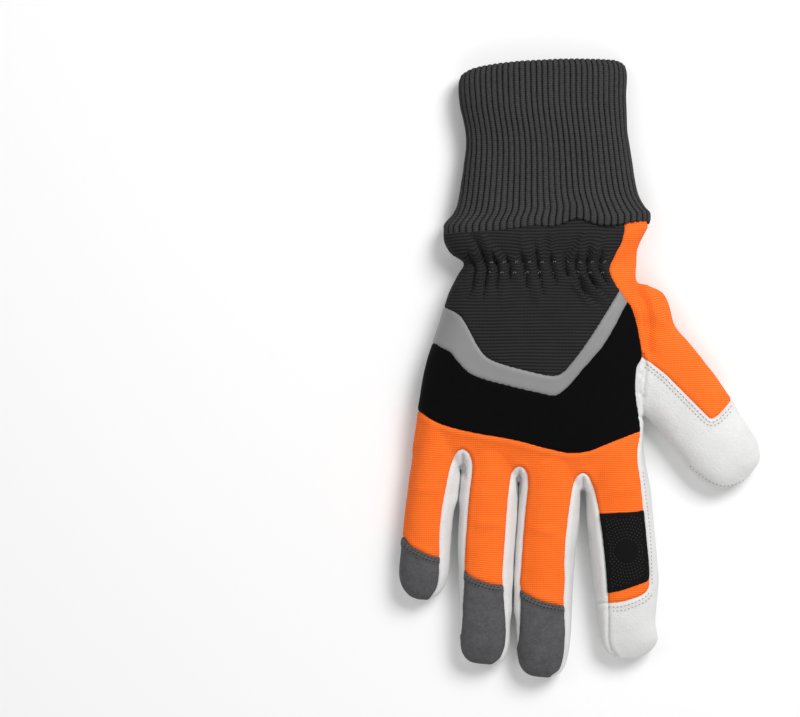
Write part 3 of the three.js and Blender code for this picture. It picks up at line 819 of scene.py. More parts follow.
@dataclass
class Hand:
    """The hand of the glove: one skin of lofts, scored along the seams, shaped and parted into its pieces.

    Attributes:
        voxel: grid that joins the lofts, in mm.
        wall: thickness of the pieces, in mm.
        elastic: y of the elastic at the wrist.
        slit_share: share of a slit between two fingers that they fill as they swell.
        slit_most: the most that one of them moves, in mm.
        seam_depth: how far a seam sinks in, in mm.
        roll: how far a panel puffs up beside a seam, in mm.
        tape_roll: share of that beside the thin tape.
        hem: height of the doubled hem of a fingertip cap, in mm.
        pad: height of the palm's pads, in mm.
        pucker: height of the gathers at the elastic, in mm.
        rounded: x, y and radius, in mm, of the places where lofts meet that are rounded more.
        lifts: how far each piece lies over the skin, in mm.
        tree: the lifted pieces as a surface to sew on, there once they are built.
    """

    voxel: float = 0.82
    wall: float = 1.1
    elastic: float = 50.0
    slit_share: float = 0.85
    slit_most: float = 1.1
    seam_depth: float = 0.6
    roll: float = 0.28
    tape_roll: float = 0.25
    hem: float = 0.4
    pad: float = 1.2
    pucker: float = 1.9
    rounded: tuple = (
        (-59, -38, 4), (-30.5, -46, 4), (1, -49, 4), (33, -18, 9), (36, 40, 10), (30, 8, 8),
    )
    lifts: dict = field(default_factory=lambda: {
        "palm_leather": 0.0, "back_cloth": 0.1, "reflective_stripe": 0.3, "knuckle_panel": 0.2,
        "finger_back_cloth": 0.12, "little_fingertip_cap": 0.35, "ring_fingertip_cap": 0.35,
        "middle_fingertip_cap": 0.35, "thumb_back_cloth": 0.12, "thumb_back_leather": 0.0,
        "little_ring_gusset": 0.0, "ring_middle_gusset": 0.0, "middle_index_gusset": 0.0,
    })
    tree: BVHTree | None = field(init=False, default=None)

    def build(self) -> dict[str, bpy.types.Object]:
        """Makes the skin and parts it.

        Returns:
            The pieces by the names of the nodes that they stand for.
        """
        skin = self.skin()
        self.lay_fields(skin)
        self.score_seams(skin)
        where = self.regions(skin)
        weave = skin.points.copy()
        weave[:, 1] += 0.7 * self.folds(skin) + 0.5 * ripple(skin.points, 26, 31)
        weave[:, 0] += 0.6 * ripple(skin.points, 30, 32)
        skin.points += vertex_normals(skin.points, skin.faces) * self.relief(skin)[:, None]
        skin.points[:, 2] = np.maximum(skin.points[:, 2], LOWEST)
        normals = vertex_normals(skin.points, skin.faces)
        shells = []
        made = {}
        for name, lift in self.lifts.items():
            points, faces, used = compact(skin.points, skin.faces[where == name])
            outward = normals[used]
            points = points + lift * outward
            points[:, 2] = np.maximum(points[:, 2], LOWEST)
            shells.append((points, faces))
            points, faces = with_wall(points, faces, -self.wall * outward)
            made[name] = make_object(PIECE_NAMES[name], points, faces, weave=np.tile(weave[used], (2, 1)))
        inside = (skin.at_faces("touch") > 0) & (skin.points[skin.faces, 2].mean(1) > THUMB_SEAM)
        points, faces, used = compact(skin.points, skin.faces[inside])
        rounded_edge = 0.35 + 0.45 * ramp(skin.fields["touch"][used], 0, 0.9)
        lift = normals[used] * rounded_edge[:, None]
        shells.append((points + lift, faces))
        points, faces = with_wall(points + lift, faces, -0.6 * lift)
        made["touch_patch"] = make_object(PIECE_NAMES["touch_patch"], points, faces)
        self.tree = tree_of(*merged(shells))
        return made

    def skin(self) -> Skin:
        """Joins the lofts of the hand, fingers and thumb.

        Returns:
            The smoothed skin.
        """
        shells = [loft(HAND_ROWS, Form.HAND, 160, 1.6)]
        shells += [loft(rows, Form.DIGIT, 72, 1.2) for rows in FINGER_ROWS.values()]
        points, faces = loft(THUMB_ROWS, Form.DIGIT, 90, 1.2)
        shells.append((on_thumb(points), faces))
        skin = Skin.joined(shells, self.voxel)
        skin.smooth(self.rounded)
        self.close_slits(skin)
        return skin

    def close_slits(self, skin: Skin) -> None:
        """Swells neighbouring fingers towards each other where they touch.

        Each vertex near the slit moves along X by the lesser of slit_most and slit_share times half the
        slit's width, and the move fades with the distance from the slit's edge.

        Args:
            skin: the skin.
        """
        x, y = skin.points[:, 0], skin.points[:, 1]
        for name, (start, end) in SLITS.items():
            left, right = (smooth_curve(FINGER_ROWS[finger], 1.0) for finger in GAPS[name].fingers)
            near, far = (np.interp(-y, -rows[:, 0], rows[:, side]) for rows, side in ((left, 2), (right, 1)))
            middle, half = (near + far) / 2, np.maximum(0, far - near) / 2
            move = np.minimum(self.slit_share * half, self.slit_most) * ramp(y, end, end + 8)
            move *= (1 - ramp(y, start - 6, start)) * bell(np.maximum(0, np.abs(x - middle) - half), 2.4)
            skin.points[:, 0] = x = x + np.where(x < middle, 1, -1) * move

    def lay_fields(self, skin: Skin) -> None:
        """Works out the field of every seam at every vertex.

        Args:
            skin: the skin, which keeps the fields.
        """
        seams = {
            "up": Seam(STRIPE_UPPER, [[200, 45], [200, 200], [-200, 200], [-200, 34]]),
            "low": Seam(STRIPE_LOWER, [[200, 38], [200, 200], [-200, 200], [-200, 15.5]]),
            "knuckle": Seam(KNUCKLE_LINE, [[200, -29], [200, 200], [-200, 200], [-200, -17.5]]),
            "edge": Seam(BACK_EDGE, [[4, -170], [-200, -170], [-200, 80]]),
            "end": Seam(THUMB_END + THUMB_END_UP[1:], [[200, -5], [200, 200], [-200, 200], [-200, 5.5]]),
            "strip": Seam(
                STRIP_EDGE + [[36, -34], [50, -75], [60, -120], [80, -200]], [[-200, -200], [-200, 5.5]],
            ),
            "under": Seam(WRIST_UNDER, [[200, -22], [200, 82]]),
            "touch": Seam(TOUCH_OUTLINE),
        }
        for finger, line in CAP_LINES.items():
            seams[finger] = Seam(line, [[line[-1][0], -200], [line[0][0], -200]])
        for name, gap in GAPS.items():
            seams[name + "_above"] = gap.above()
            seams[name + "_below"] = gap.below()
        for name, seam in seams.items():
            skin.fields[name] = seam.at(skin.points)
        for name, outline in PADS.items():
            skin.fields["pad_" + name] = Seam(outline).at(skin.points)
        skin.fields["upper"] = skin.points[:, 2] - upper_edge(skin.points)
        skin.fields["side"] = skin.points[:, 2] - SIDE_SEAM
        skin.fields["thumb_side"] = skin.points[:, 2] - THUMB_SEAM
        skin.fields["wrist"] = cuff_edge(skin.points) + 1.6 - skin.points[:, 1]

    def reach(self, skin: Skin, name: str) -> np.ndarray:
        """How far each seam reaches over the skin, from 0 to 1 at each vertex.

        Args:
            skin: the skin.
            name: the seam's field.

        Returns:
            A weight for each vertex, above zero where the seam is real.
        """
        f, z = skin.fields, skin.points[:, 2]
        back = ramp(f["edge"], -0.6, 0.4)
        above = ramp(z, THUMB_SEAM - 1.2, THUMB_SEAM)
        high = ramp(z, SIDE_SEAM - 1, SIDE_SEAM)
        outside_gaps = np.ones(len(z))
        upper = f["upper"] > 0
        for gap in GAPS:
            outside_gaps *= ramp(-np.where(upper, f[gap + "_above"], f[gap + "_below"]), -0.6, 0.3)
        if name in ("up", "low", "knuckle"):
            return back * high
        if name in FINGER_ROWS:
            return back * high * outside_gaps * (f["knuckle"] < 0)
        if name == "edge":
            return above
        if name == "end":
            return ramp(-f["edge"], -0.6, 0.4) * np.maximum(above, ramp(f["under"], -0.6, 0.4))
        if name == "strip":
            near_root = skin.points[:, 1] > -24
            return above * ramp(-f["edge"], -0.6, 0.4) * ramp(-f["end"], -0.6, 0.4) * near_root
        if name == "under":
            return (1 - above) * ramp(f["end"], -0.6, 0.4)
        if name.endswith("_above"):
            return np.maximum(above, upper)
        if name.endswith("_below"):
            return (1 - above) * ~upper
        if name == "side":
            return back * outside_gaps
        if name == "upper":
            return np.zeros(len(z))
        if name == "thumb_side":
            here = (skin.points[:, 0] > 33) & (f["strip"] < 0.4)
            return here * ramp(-f["end"], -0.6, 0.4)
        return above

    def score_seams(self, skin: Skin) -> None:
        """Scores the skin along every seam, and takes off what lies under the cuff.

        Args:
            skin: the skin, which is changed.
        """
        names = [n for n in skin.fields if not n.startswith("pad_")]
        for name in names:
            near = np.abs(skin.fields[name]) < 3.5
            allowed = near if name == "wrist" else near & (self.reach(skin, name) > 0)
            if name == "upper":
                allowed = near & (skin.points[:, 1] < -40)
            skin.score(name, allowed)
        skin.faces = skin.faces[skin.at_faces("wrist") > 0]
        skin.points, skin.faces, used = compact(skin.points, skin.faces)
        skin.fields = {name: values[used] for name, values in skin.fields.items()}

    def regions(self, skin: Skin) -> np.ndarray:
        """Sorts the triangles into pieces by the signs of the fields.

        Args:
            skin: the scored skin.

        Returns:
            The node that each triangle belongs to.
        """
        at = {name: skin.at_faces(name) for name in skin.fields}
        z = skin.points[skin.faces, 2].mean(1)
        x = skin.points[skin.faces, 0].mean(1)
        where = np.full(len(skin.faces), "palm_leather", dtype=object)
        where[(at["under"] > 0) & (at["end"] > 0)] = "thumb_back_cloth"
        above = z > THUMB_SEAM
        right = above & (at["edge"] <= 0)
        where[right] = "palm_leather"
        where[right & (at["end"] > 0)] = "thumb_back_cloth"
        where[right & (at["end"] <= 0) & (at["strip"] <= 0)] = "thumb_back_leather"
        back = (at["edge"] > 0) & (z > SIDE_SEAM)
        where[back] = "finger_back_cloth"
        fingers = {"little": (-100, -62), "ring": (-62, -30.5), "middle": (-30.5, 2)}
        for finger, (low, high) in fingers.items():
            where[back & (at[finger] > 0) & (x > low) & (x < high)] = finger + "_fingertip_cap"
        where[back & (at["knuckle"] > 0)] = "knuckle_panel"
        where[back & (at["low"] > 0)] = "reflective_stripe"
        where[back & (at["up"] > 0)] = "back_cloth"
        for gap in GAPS:
            strip = np.where(at["upper"] > 0, at[gap + "_above"] > 0, at[gap + "_below"] > 0)
            where[strip] = gap + "_gusset"
            where[(at["upper"] <= 0) & (at[gap + "_above"] > 0) & ~strip] = "palm_leather"
        return where

    def gathers(self, points: np.ndarray) -> np.ndarray:
        """Puckers that the elastic pulls into the back: rounded ridges that fan out and fade away from it.

        The height is a power of a cosine across the ridges, whose phase wanders by two sines, times a fade.

        Args:
            points: places, in mm.

        Returns:
            The height at each point.
        """
        x, y = points[:, 0], points[:, 1]
        away = y - self.elastic
        fan = -22 + (x + 22) * (1 - 0.011 * np.abs(away)) + 0.14 * away
        wave = TAU * (fan / 6.25 + 0.16 * np.sin(x / 8.0) + 0.05 * np.sin(x / 3.1 + 1))
        ridge = 2 * np.abs(np.cos(wave / 2)) ** 0.6 - 1.3
        reach = np.where(away > 0, 8.0, 10.5) * (1 + 0.35 * np.sin(x / 4.3 + 0.5))
        fade = 1 - ramp(np.abs(away), 0.3 * reach, 1.5 * reach)
        return self.pucker * ridge * fade * ramp(x, -61, -54) * (1 - ramp(x, 12, 18))

    def folds(self, skin: Skin) -> np.ndarray:
        """Adds up the folds and puckers on the back.

        Args:
            skin: the skin.

        Returns:
            The height at each vertex.
        """
        p = skin.points
        above = ramp(p[:, 2], 9, 12)
        height = ramp(skin.fields["up"], 0, 4) * ramp(skin.fields["edge"], 0, 2) * self.gathers(p)
        for fold in FOLDS:
            height = height + fold.at(p)
        return above * height

    def seam_relief(self, skin: Skin) -> np.ndarray:
        """Sinks the seams in along a bell and puffs the panels up beside them along another.

        Args:
            skin: the skin.

        Returns:
            The height at each vertex.
        """
        sunk, rolled = np.zeros(len(skin.points)), np.zeros(len(skin.points))
        for name, values in skin.fields.items():
            if name.startswith("pad_") or name in ("wrist", "touch"):
                continue
            weight = self.reach(skin, name)
            full = self.tape_roll if name in ("up", "low") else 1.0
            sunk = np.maximum(sunk, weight * bell(values, 0.55))
            rolled = np.maximum(rolled, full * weight * bell(np.abs(values) - 2.0, 1.3))
        return self.roll * rolled - self.seam_depth * sunk

    def hems(self, skin: Skin) -> np.ndarray:
        """Raises the doubled hems: a step beside each cap's seam and a welt along the thumb's.

        Args:
            skin: the skin.

        Returns:
            The height at each vertex.
        """
        f, p = skin.fields, skin.points
        height = 0.45 * self.reach(skin, "end") * ramp(p[:, 2], 9, 12) * bell(f["end"] + 1.1, 0.6)
        for finger, line in CAP_LINES.items():
            beside = np.abs(p[:, 0] - line[3][0]) < 17
            step = ramp(f[finger], 0, 0.5) * (1 - ramp(f[finger], 2.7, 3.2))
            height += self.hem * beside * self.reach(skin, finger) * step
        return height

    def pads(self, skin: Skin) -> np.ndarray:
        """Raises the quilted pads of the palm, with two grooves inside each edge where they are sewn.

        Args:
            skin: the skin.

        Returns:
            The height at each vertex.
        """
        below = 1 - ramp(skin.points[:, 2], 3.5, 7.0)
        height = np.zeros(len(skin.points))
        for name in PADS:
            deep = skin.fields["pad_" + name]
            grooves = bell(deep - QUILTING[0], 0.45) + bell(deep - QUILTING[1], 0.45)
            height += self.pad * ramp(deep, -0.3, 1.4) + 0.15 * ramp(deep, 3, 7) - 0.5 * grooves
        return below * height

    def relief(self, skin: Skin) -> np.ndarray:
        """How far each vertex moves out: seams, folds, hems, the sewn elastic, pads and unevenness together.

        Args:
            skin: the skin.

        Returns:
            The height at each vertex.
        """
        f, p = skin.fields, skin.points
        away = p[:, 1] - self.elastic
        on_back_cloth = ramp(f["up"], 0, 4) * ramp(f["edge"], 0, 1) * ramp(p[:, 2], 9, 12)
        band = np.maximum(bell(away - 2.5, 0.9), bell(away + 2.5, 0.9))
        height = self.seam_relief(skin) + self.folds(skin) + self.hems(skin) + self.pads(skin)
        height += 0.22 * ripple(p, 17, 3) + 0.08 * ripple(p, 6, 4) - 0.6 * on_back_cloth * band
        tucked = 1 - ramp(f["wrist"], 1.0, 4.5)
        return height - (1.7 + 2.0 * (1 - ramp(p[:, 2], 3, 8))) * tucked


# the name of the piece that stands for each node
PIECE_NAMES = {
    "palm_leather": "goatskin_palm", "back_cloth": "ottoman_back", "reflective_stripe": "reflective_tape_v",
    "knuckle_panel": "neoprene_knuckles", "finger_back_cloth": "orange_finger_backs",
    "little_fingertip_cap": "suede_cap_little", "ring_fingertip_cap": "suede_cap_ring",
    "middle_fingertip_cap": "suede_cap_middle", "thumb_back_cloth": "orange_thumb_back",
    "thumb_back_leather": "goatskin_thumb_end", "little_ring_gusset": "goatskin_strip_little_ring",
    "ring_middle_gusset": "goatskin_strip_ring_middle", "middle_index_gusset": "goatskin_strip_middle_index",
    "touch_patch": "touch_cloth_patch", "rib_cuff": "knitted_cuff", "cuff_tab": "suede_tab",
    "cuff_badge": "rubber_badge",
}


@dataclass
class Cuff:
    """The knitted cuff: a doubled tube of 1 by 1 ribs, folded over at its mouth.

    Attributes:
        ribs: number of ribs round it.
        per_rib: columns of the grid in a rib.
        depth: depth of the valleys between the ribs, in mm.
        thickness: thickness of the doubled knit, in mm.
    """

    ribs: int = 66
    per_rib: int = 8
    depth: float = 0.9
    thickness: float = 2.6

    def even_rings(self) -> tuple:
        """Rings of the outer face, with points spaced evenly round each.

        Returns:
            The table of the sections, x, y and z of the points, and the outward direction as x and z.
        """
        table = smooth_curve(CUFF_ROWS, 0.8)
        angle = TAU * np.arange(1441) / 1440
        outline_x, outline_z, centre = sections(table, Form.CUFF, angle, Form.CUFF.value[3])
        share = np.arange(self.ribs * self.per_rib) / (self.ribs * self.per_rib)
        x, z = np.empty((2, len(table), len(share)))
        for row in range(len(table)):
            run = np.hypot(np.diff(outline_x[row]), np.diff(outline_z[row])).cumsum()
            round_it = np.concatenate([[0], run]) / run[-1]
            x[row] = np.interp(share, round_it, outline_x[row])
            z[row] = np.interp(share, round_it, outline_z[row])
        out_x = np.roll(z, -1, 1) - np.roll(z, 1, 1)
        out_z = np.roll(x, 1, 1) - np.roll(x, -1, 1)
        size = np.hypot(out_x, out_z)
        y = table[:, :1] + table[:, 4:] * (x - centre)
        return table, x, y, z, out_x / size, out_z / size

    def build(self) -> bpy.types.Object:
        """Makes the cuff.

        Each point of the outer face moves in by the depth times one less a power of the sine of the rib's
        phase. The mouth and the wrist end are half circles that join it to the inner face.

        Returns:
            The piece, with a UV map that counts ribs across and millimetres along.
        """
        table, x, y, z, out_x, out_z = self.even_rings()
        along_y, columns = table[:, 0], x.shape[1]
        flat = np.stack([x, y, z], 2).reshape(-1, 3)
        y += (cuff_edge(flat).reshape(x.shape) - WRIST_Y) * (1 - ramp(along_y, WRIST_Y, 92))[:, None]
        mouth_x, mouth_y = np.array(MOUTH_EDGE).T
        y += (np.interp(x, mouth_x, mouth_y) - MOUTH_Y) * ramp(along_y, 122, CUFF_ROWS[0][0])[:, None]
        wobble = 0.05 * ripple(flat, 14, 21, (1, 2, 1)).reshape(x.shape)
        phase = math.pi * (np.arange(columns) / self.per_rib + wobble)
        valley = 1 - np.abs(np.sin(phase)) ** 0.4
        sag = 0.35 * ripple(flat, 22, 9).reshape(x.shape) + 0.12 * ripple(flat, 7, 10).reshape(x.shape)
        outward = sag - self.depth * valley
        floor = Form.CUFF.value[3] + 0.05
        outer = np.stack([x + outward * out_x, y, np.maximum(z + outward * out_z, floor)], 2)
        radius = self.thickness / 2
        turn = np.radians([30, 60, 90, 120, 150])[:, None]
        swell = radius * (1 - 0.55 * valley)
        mouth, wrist = (
            self.rings(x[end], y[end] + side * swell[end] * np.sin(turn), z[end], out_x[end], out_z[end],
                       outward[end] - radius + radius * np.cos(turn))
            for end, side in ((0, 1), (-1, -1))
        )
        inner_rows = np.arange(len(table) - 1, -1, -4)
        inner_in = outward - self.thickness + 0.6 * self.depth * valley
        inner = self.rings(*(part[inner_rows] for part in (x, y, z, out_x, out_z, inner_in)))
        loop = np.concatenate([outer, wrist, inner, mouth[::-1]])
        points = loop.reshape(-1, 3)
        faces = grid_faces(len(loop) + 1, columns, True) % len(points)
        made = make_object(PIECE_NAMES["rib_cuff"], points, faces, 80)
        along = np.concatenate([[0], np.linalg.norm(np.diff(loop.mean(1), axis=0), axis=1).cumsum()])
        along = np.append(along, along[-1] + 1)
        row, column = np.divmod(np.arange(len(points)), columns)
        u = np.stack([column, column + 1, column + 1, column], 1) / self.per_rib
        v = along[np.stack([row, row, row + 1, row + 1], 1)]
        layer = made.data.uv_layers.new(name="knit")
        layer.data.foreach_set("uv", np.stack([u, v], 2).astype(np.float32).ravel())
        return made

    @staticmethod
    def rings(x: np.ndarray, y: np.ndarray, z: np.ndarray, out_x: np.ndarray, out_z: np.ndarray,
              move: np.ndarray) -> np.ndarray:
        """Rings moved along their outward direction.

        Args:
            x, y, z: places of the points.
            out_x, out_z: the outward direction at each.
            move: how far each moves, in mm.

        Returns:
            The rings as an array of rings by points by 3.
        """
        return np.stack(np.broadcast_arrays(x + move * out_x, y, z + move * out_z), 2)


@dataclass
class Label:
    """The suede tab on the underside of the cuff and the moulded badge on it.

    Attributes:
        tab: outline of the tab, in mm.
        badge: outline of the badge.
        tree: both as a surface to sew on, there once they are built.
    """

    tab: list = field(default_factory=lambda: [
        [0.9, 72.4], [0.6, 76], [0, 80], [-2, 88], [-5.5, 102.5], [-7.5, 106.2], [-12, 108.3], [-22, 108.3],
        [-32, 107.5], [-37.5, 105.6], [-39.5, 102.5], [-41.5, 88], [-42.6, 76], [-42.9, 72.4],
        [-42, 71.6], [-32, 71.5], [-20, 71.5], [-9, 71.5], [0.1, 71.6],
    ])
    badge: list = field(default_factory=lambda: [
        [-4.8, 75.6], [-5.6, 80], [-8, 91], [-11, 99], [-13, 102], [-18, 103.3], [-27, 103], [-31, 100.5],
        [-33.5, 91], [-35.8, 80], [-36.2, 75.6], [-35, 74.4], [-20, 74], [-6, 74.3],
    ])
    tree: BVHTree | None = field(init=False, default=None)

    @staticmethod
    def plate(outline: np.ndarray, profile: list) -> tuple:
        """A plate whose edge follows an outline: a profile of inset and height, carried along it.

        A ring of the plate is the outline drawn in towards its middle by the inset, in X and in Y alike.

        Args:
            outline: closed outline in plan, running anticlockwise seen from above.
            profile: inset and z of each ring, from the middle of the top to the middle below.

        Returns:
            Vertices and triangles.
        """
        middle, half = (outline.max(0) + outline.min(0)) / 2, np.ptp(outline, axis=0) / 2
        rings = []
        for inset, z in profile:
            place = middle + (outline - middle) * np.maximum(0.05, 1 - inset / half)
            rings.append(np.column_stack([place, np.full(len(place), z)]))
        points = np.vstack([*rings, [*middle, profile[0][1]], [*middle, profile[-1][1]]])
        n, last = len(outline), (len(rings) - 1) * len(outline)
        quads = grid_faces(len(rings), n, True)
        k, after = np.arange(n), (np.arange(n) + 1) % n
        centre = np.full(n, len(points) - 2)
        caps = [np.stack([centre, after, k], 1), np.stack([centre + 1, last + k, last + after], 1)]
        faces = np.concatenate([quads[:, [0, 1, 2]], quads[:, [0, 2, 3]], *caps])
        return points, faces[:, ::-1]

    def build(self) -> dict[str, bpy.types.Object]:
        """Makes the tab and the badge.

        Returns:
            The pieces by node.
        """
        tab, badge = smooth_curve(self.tab, 0.8, True), smooth_curve(self.badge, 0.8, True)
        tab_profile = [
            [30, 2.2], [1, 2.2], [0.3, 2.1], [0, 1.85], [0, 1.6], [0.3, 1.3], [0.9, 1.2], [1.5, 1.3],
            [2.0, 1.22], [3, 1.2], [30, 1.2],
        ]
        badge_profile = [
            [30, 0.9], [0.6, 0.9], [0.15, 0.8], [0, 0.55], [0.1, 0.2], [0.5, 0.02], [1.2, 0.0], [1.6, 0.1],
            [1.75, 0.32], [2.6, 0.34], [30, 0.34],
        ]
        shells = [self.plate(tab, tab_profile), self.plate(badge, badge_profile)]
        self.tree = tree_of(*merged(shells))
        return {
            "cuff_tab": make_object(PIECE_NAMES["cuff_tab"], *shells[0], 60),
            "cuff_badge": make_object(PIECE_NAMES["cuff_badge"], *shells[1], 60),
        }


@dataclass(frozen=True)
class StitchRow:
    """A row of stitches: short capsules of thread whose ends sink into the cloth.

    Attributes:
        line: the row in plan, in mm.
        shift: distance to the right of the line, walking along it.
        below: whether it lies on the underside.
        span: least and greatest x of the row, in mm.
        length: length of a stitch, in mm.
        gap: distance between stitches, in mm.
        radius: half the thread's thickness, in mm.
    """

    line: list
    shift: float = 0.0
    below: bool = False
    span: tuple = (-200.0, 200.0)
    length: float = 1.3
    gap: float = 0.9
    radius: float = 0.17

    def ends(self) -> np.ndarray:
        """Lays stitches out along the line.

        Returns:
            Start, middle and end of each in plan, as an array of n by 3 by 2.
        """
        path = smooth_curve(self.line, 0.5)
        run = np.gradient(path, axis=0)
        run /= np.maximum(np.linalg.norm(run, axis=1), 1e-9)[:, None]
        path = path + self.shift * np.stack([run[:, 1], -run[:, 0]], 1)
        along = np.concatenate([[0], np.linalg.norm(np.diff(path, axis=0), axis=1).cumsum()])
        starts = np.arange(self.gap / 2, along[-1] - self.length, self.length + self.gap)
        places = starts[:, None] + self.length * np.array([0, 0.5, 1])
        plan = np.stack([np.interp(places, along, path[:, axis]) for axis in (0, 1)], 2)
        inside = (plan[:, :, 0] > self.span[0]) & (plan[:, :, 0] < self.span[1])
        return plan[inside.all(1)]

    def mesh(self, tree: BVHTree) -> tuple:
        """The stitches on a surface.

        A stitch is a tube whose radius grows from its ends to the middle and whose height is a sine, so that
        it rises out of the cloth and dips back in.

        Args:
            tree: the surface.

        Returns:
            Vertices and triangles.
        """
        side = -1.0 if self.below else 1.0
        plan = self.ends()
        hits = [tree.ray_cast((x, y, side * 80.0), (0, 0, -side)) for x, y in plan.reshape(-1, 2)]
        found = np.array([hit[0] is not None for hit in hits]).reshape(-1, 3).all(1)
        places = np.array([hit[0] or (0, 0, 0) for hit in hits]).reshape(-1, 3, 3)[found]
        normal = np.array([hit[1] or (0, 0, 1) for hit in hits]).reshape(-1, 3, 3)[found].mean(1)
        normal *= np.where(normal[:, 2] * side < 0, -1, 1)[:, None]
        steady = np.ptp(places[:, :, 2], axis=1) < self.length
        places, normal = places[steady], normal[steady]
        normal /= np.linalg.norm(normal, axis=1)[:, None]
        run = places[:, 2] - places[:, 0]
        run /= np.linalg.norm(run, axis=1)[:, None]
        beside = np.cross(run, normal)
        t = np.array([0.0, 0.18, 0.5, 0.82, 1.0])
        thick = self.radius * np.array([0.15, 0.85, 1.0, 0.85, 0.15])
        rise = self.radius * (1.5 * np.sin(math.pi * t) - 0.8)
        curve = np.stack([np.interp(t, [0, 0.5, 1], [0, 0, 1]), 1 - np.abs(2 * t - 1)], 1)
        curve = np.column_stack([1 - curve.sum(1), curve[:, 1], curve[:, 0]])
        centre = np.einsum("tk,nkd->ntd", curve, places) + rise[:, None] * normal[:, None]
        sides = 6
        turn = TAU * np.arange(sides) / sides
        ring = np.cos(turn)[:, None] * normal[:, None, None] + np.sin(turn)[:, None] * beside[:, None, None]
        points = centre[:, :, None] + thick[:, None, None] * ring
        quads = grid_faces(len(t), sides, True)
        k = np.arange(1, sides - 1)
        end = np.stack([0 * k, k + 1, k], 1)
        last = end[:, ::-1] + (len(t) - 1) * sides
        single = np.concatenate([quads[:, [0, 1, 2]], quads[:, [0, 2, 3]], end, last])
        starts = np.arange(len(points)) * len(t) * sides
        return points.reshape(-1, 3), (single + starts[:, None, None]).reshape(-1, 3)


@dataclass(frozen=True)
class Thread:
    """One colour of thread and the rows sewn with it.

    Attributes:
        name: name of the piece.
        on: the node that it is sewn to.
        rows: the rows of stitches.
    """

    name: str
    on: str
    rows: list

    def build(self, tree: BVHTree) -> bpy.types.Object:
        """Sews the rows to a surface as one piece."""
        return make_object(self.name, *merged([row.mesh(tree) for row in self.rows]), 80)


def zigzag(y: float, first: float, last: float, pitch: float) -> list:
    """Pairs of slanting stitches along the elastic.

    Args:
        y: middle of the stitches.
        first: x of the first pair.
        last: x that they stop before.
        pitch: distance between pairs.

    Returns:
        A row of one stitch for each.
    """
    rows = []
    for x in np.arange(first, last, pitch):
        lean = 0.25 * math.sin(2.3 * x)
        rows.append(StitchRow([[x - 0.9, y - 0.5], [x, y + 0.5 + lean]], length=1.1, gap=0.1, radius=0.16))
        rows.append(StitchRow([[x, y + 0.6 + lean], [x + 0.9, y - 0.4]], length=1.1, gap=0.1, radius=0.16))
    return rows


THUMB_TIP = [
    [88, -50], [85.5, -53.5], [82, -56], [77.5, -58.2], [73.5, -59], [70, -58.6], [65.5, -57], [61, -54.2],
    [57, -51], [54, -47.5],
]
INDEX_HEM = [[13.5, -119], [20, -118.8], [27.5, -116.3], [32, -114], [34.8, -111]]
INDEX_STRIP = [[35.6, -108], [35.4, -99], [34.9, -86], [33.9, -75], [32.2, -62], [30.8, -50]]
THUMB_CORNER = THUMB_END[1:] + THUMB_END_UP[1:6]
TAB_STITCH = [
    [-1.2, 74], [-1.8, 80], [-3.6, 88], [-7, 101.6], [-8.8, 104.6], [-12, 106.4], [-22, 106.5],
    [-31.5, 105.8], [-36, 104.3], [-37.8, 101.8], [-39.8, 88], [-40.9, 76],
]
BADGE_DASH = [
    [-7.2, 77.6], [-8, 82], [-10.2, 91], [-12.8, 98], [-14.2, 100], [-18.4, 101], [-26.6, 100.8],
    [-29.2, 98.8], [-31.2, 91], [-33.2, 81], [-33.6, 77.6],
]
PALE_THREADS = [
    Thread("stitches_palm_pads", "palm_leather",
           [StitchRow(outline, shift, below=True) for outline in PADS.values() for shift in QUILTING]),
    Thread("stitches_thumb_end", "thumb_back_leather",
           [StitchRow(THUMB_CORNER, shift=1.75, gap=0.7), StitchRow(THUMB_CORNER, shift=3.5, gap=0.7),
            StitchRow(THUMB_TIP, gap=0.7)]),
    Thread("stitches_index_end", "palm_leather",
           [StitchRow(INDEX_HEM, gap=0.6), StitchRow(INDEX_HEM, shift=2.0, gap=0.6),
            StitchRow(INDEX_STRIP, gap=0.6)]),
    Thread("stitches_elastic", "back_cloth", zigzag(52.6, -44.5, 14, 6.25) + zigzag(47.4, -52, 14, 6.25)),
]
CAP_SPANS = {"little": (-88.0, -70.9), "ring": (-57.6, -39.4), "middle": (-29.8, -8.7)}
DARK_THREADS = [
    Thread("stitches_caps", "ring_fingertip_cap",
           [StitchRow(line, shift, span=CAP_SPANS[finger], length=1.2, gap=0.6, radius=0.2)
            for finger, line in CAP_LINES.items() for shift in (0.9, 2.2)]),
    Thread("stitches_touch_patch", "touch_patch", [StitchRow(TOUCH_OUTLINE, shift=1.2, radius=0.2)]),
]
TAB_THREAD = Thread(
    "stitches_tab", "cuff_tab", [StitchRow(TAB_STITCH, below=True, length=1.4, gap=0.8, radius=0.22)],
)
BADGE_LINE = Thread(
    "dashes_badge", "cuff_badge", [StitchRow(BADGE_DASH, below=True, length=1.6, gap=0.8, radius=0.3)],
)


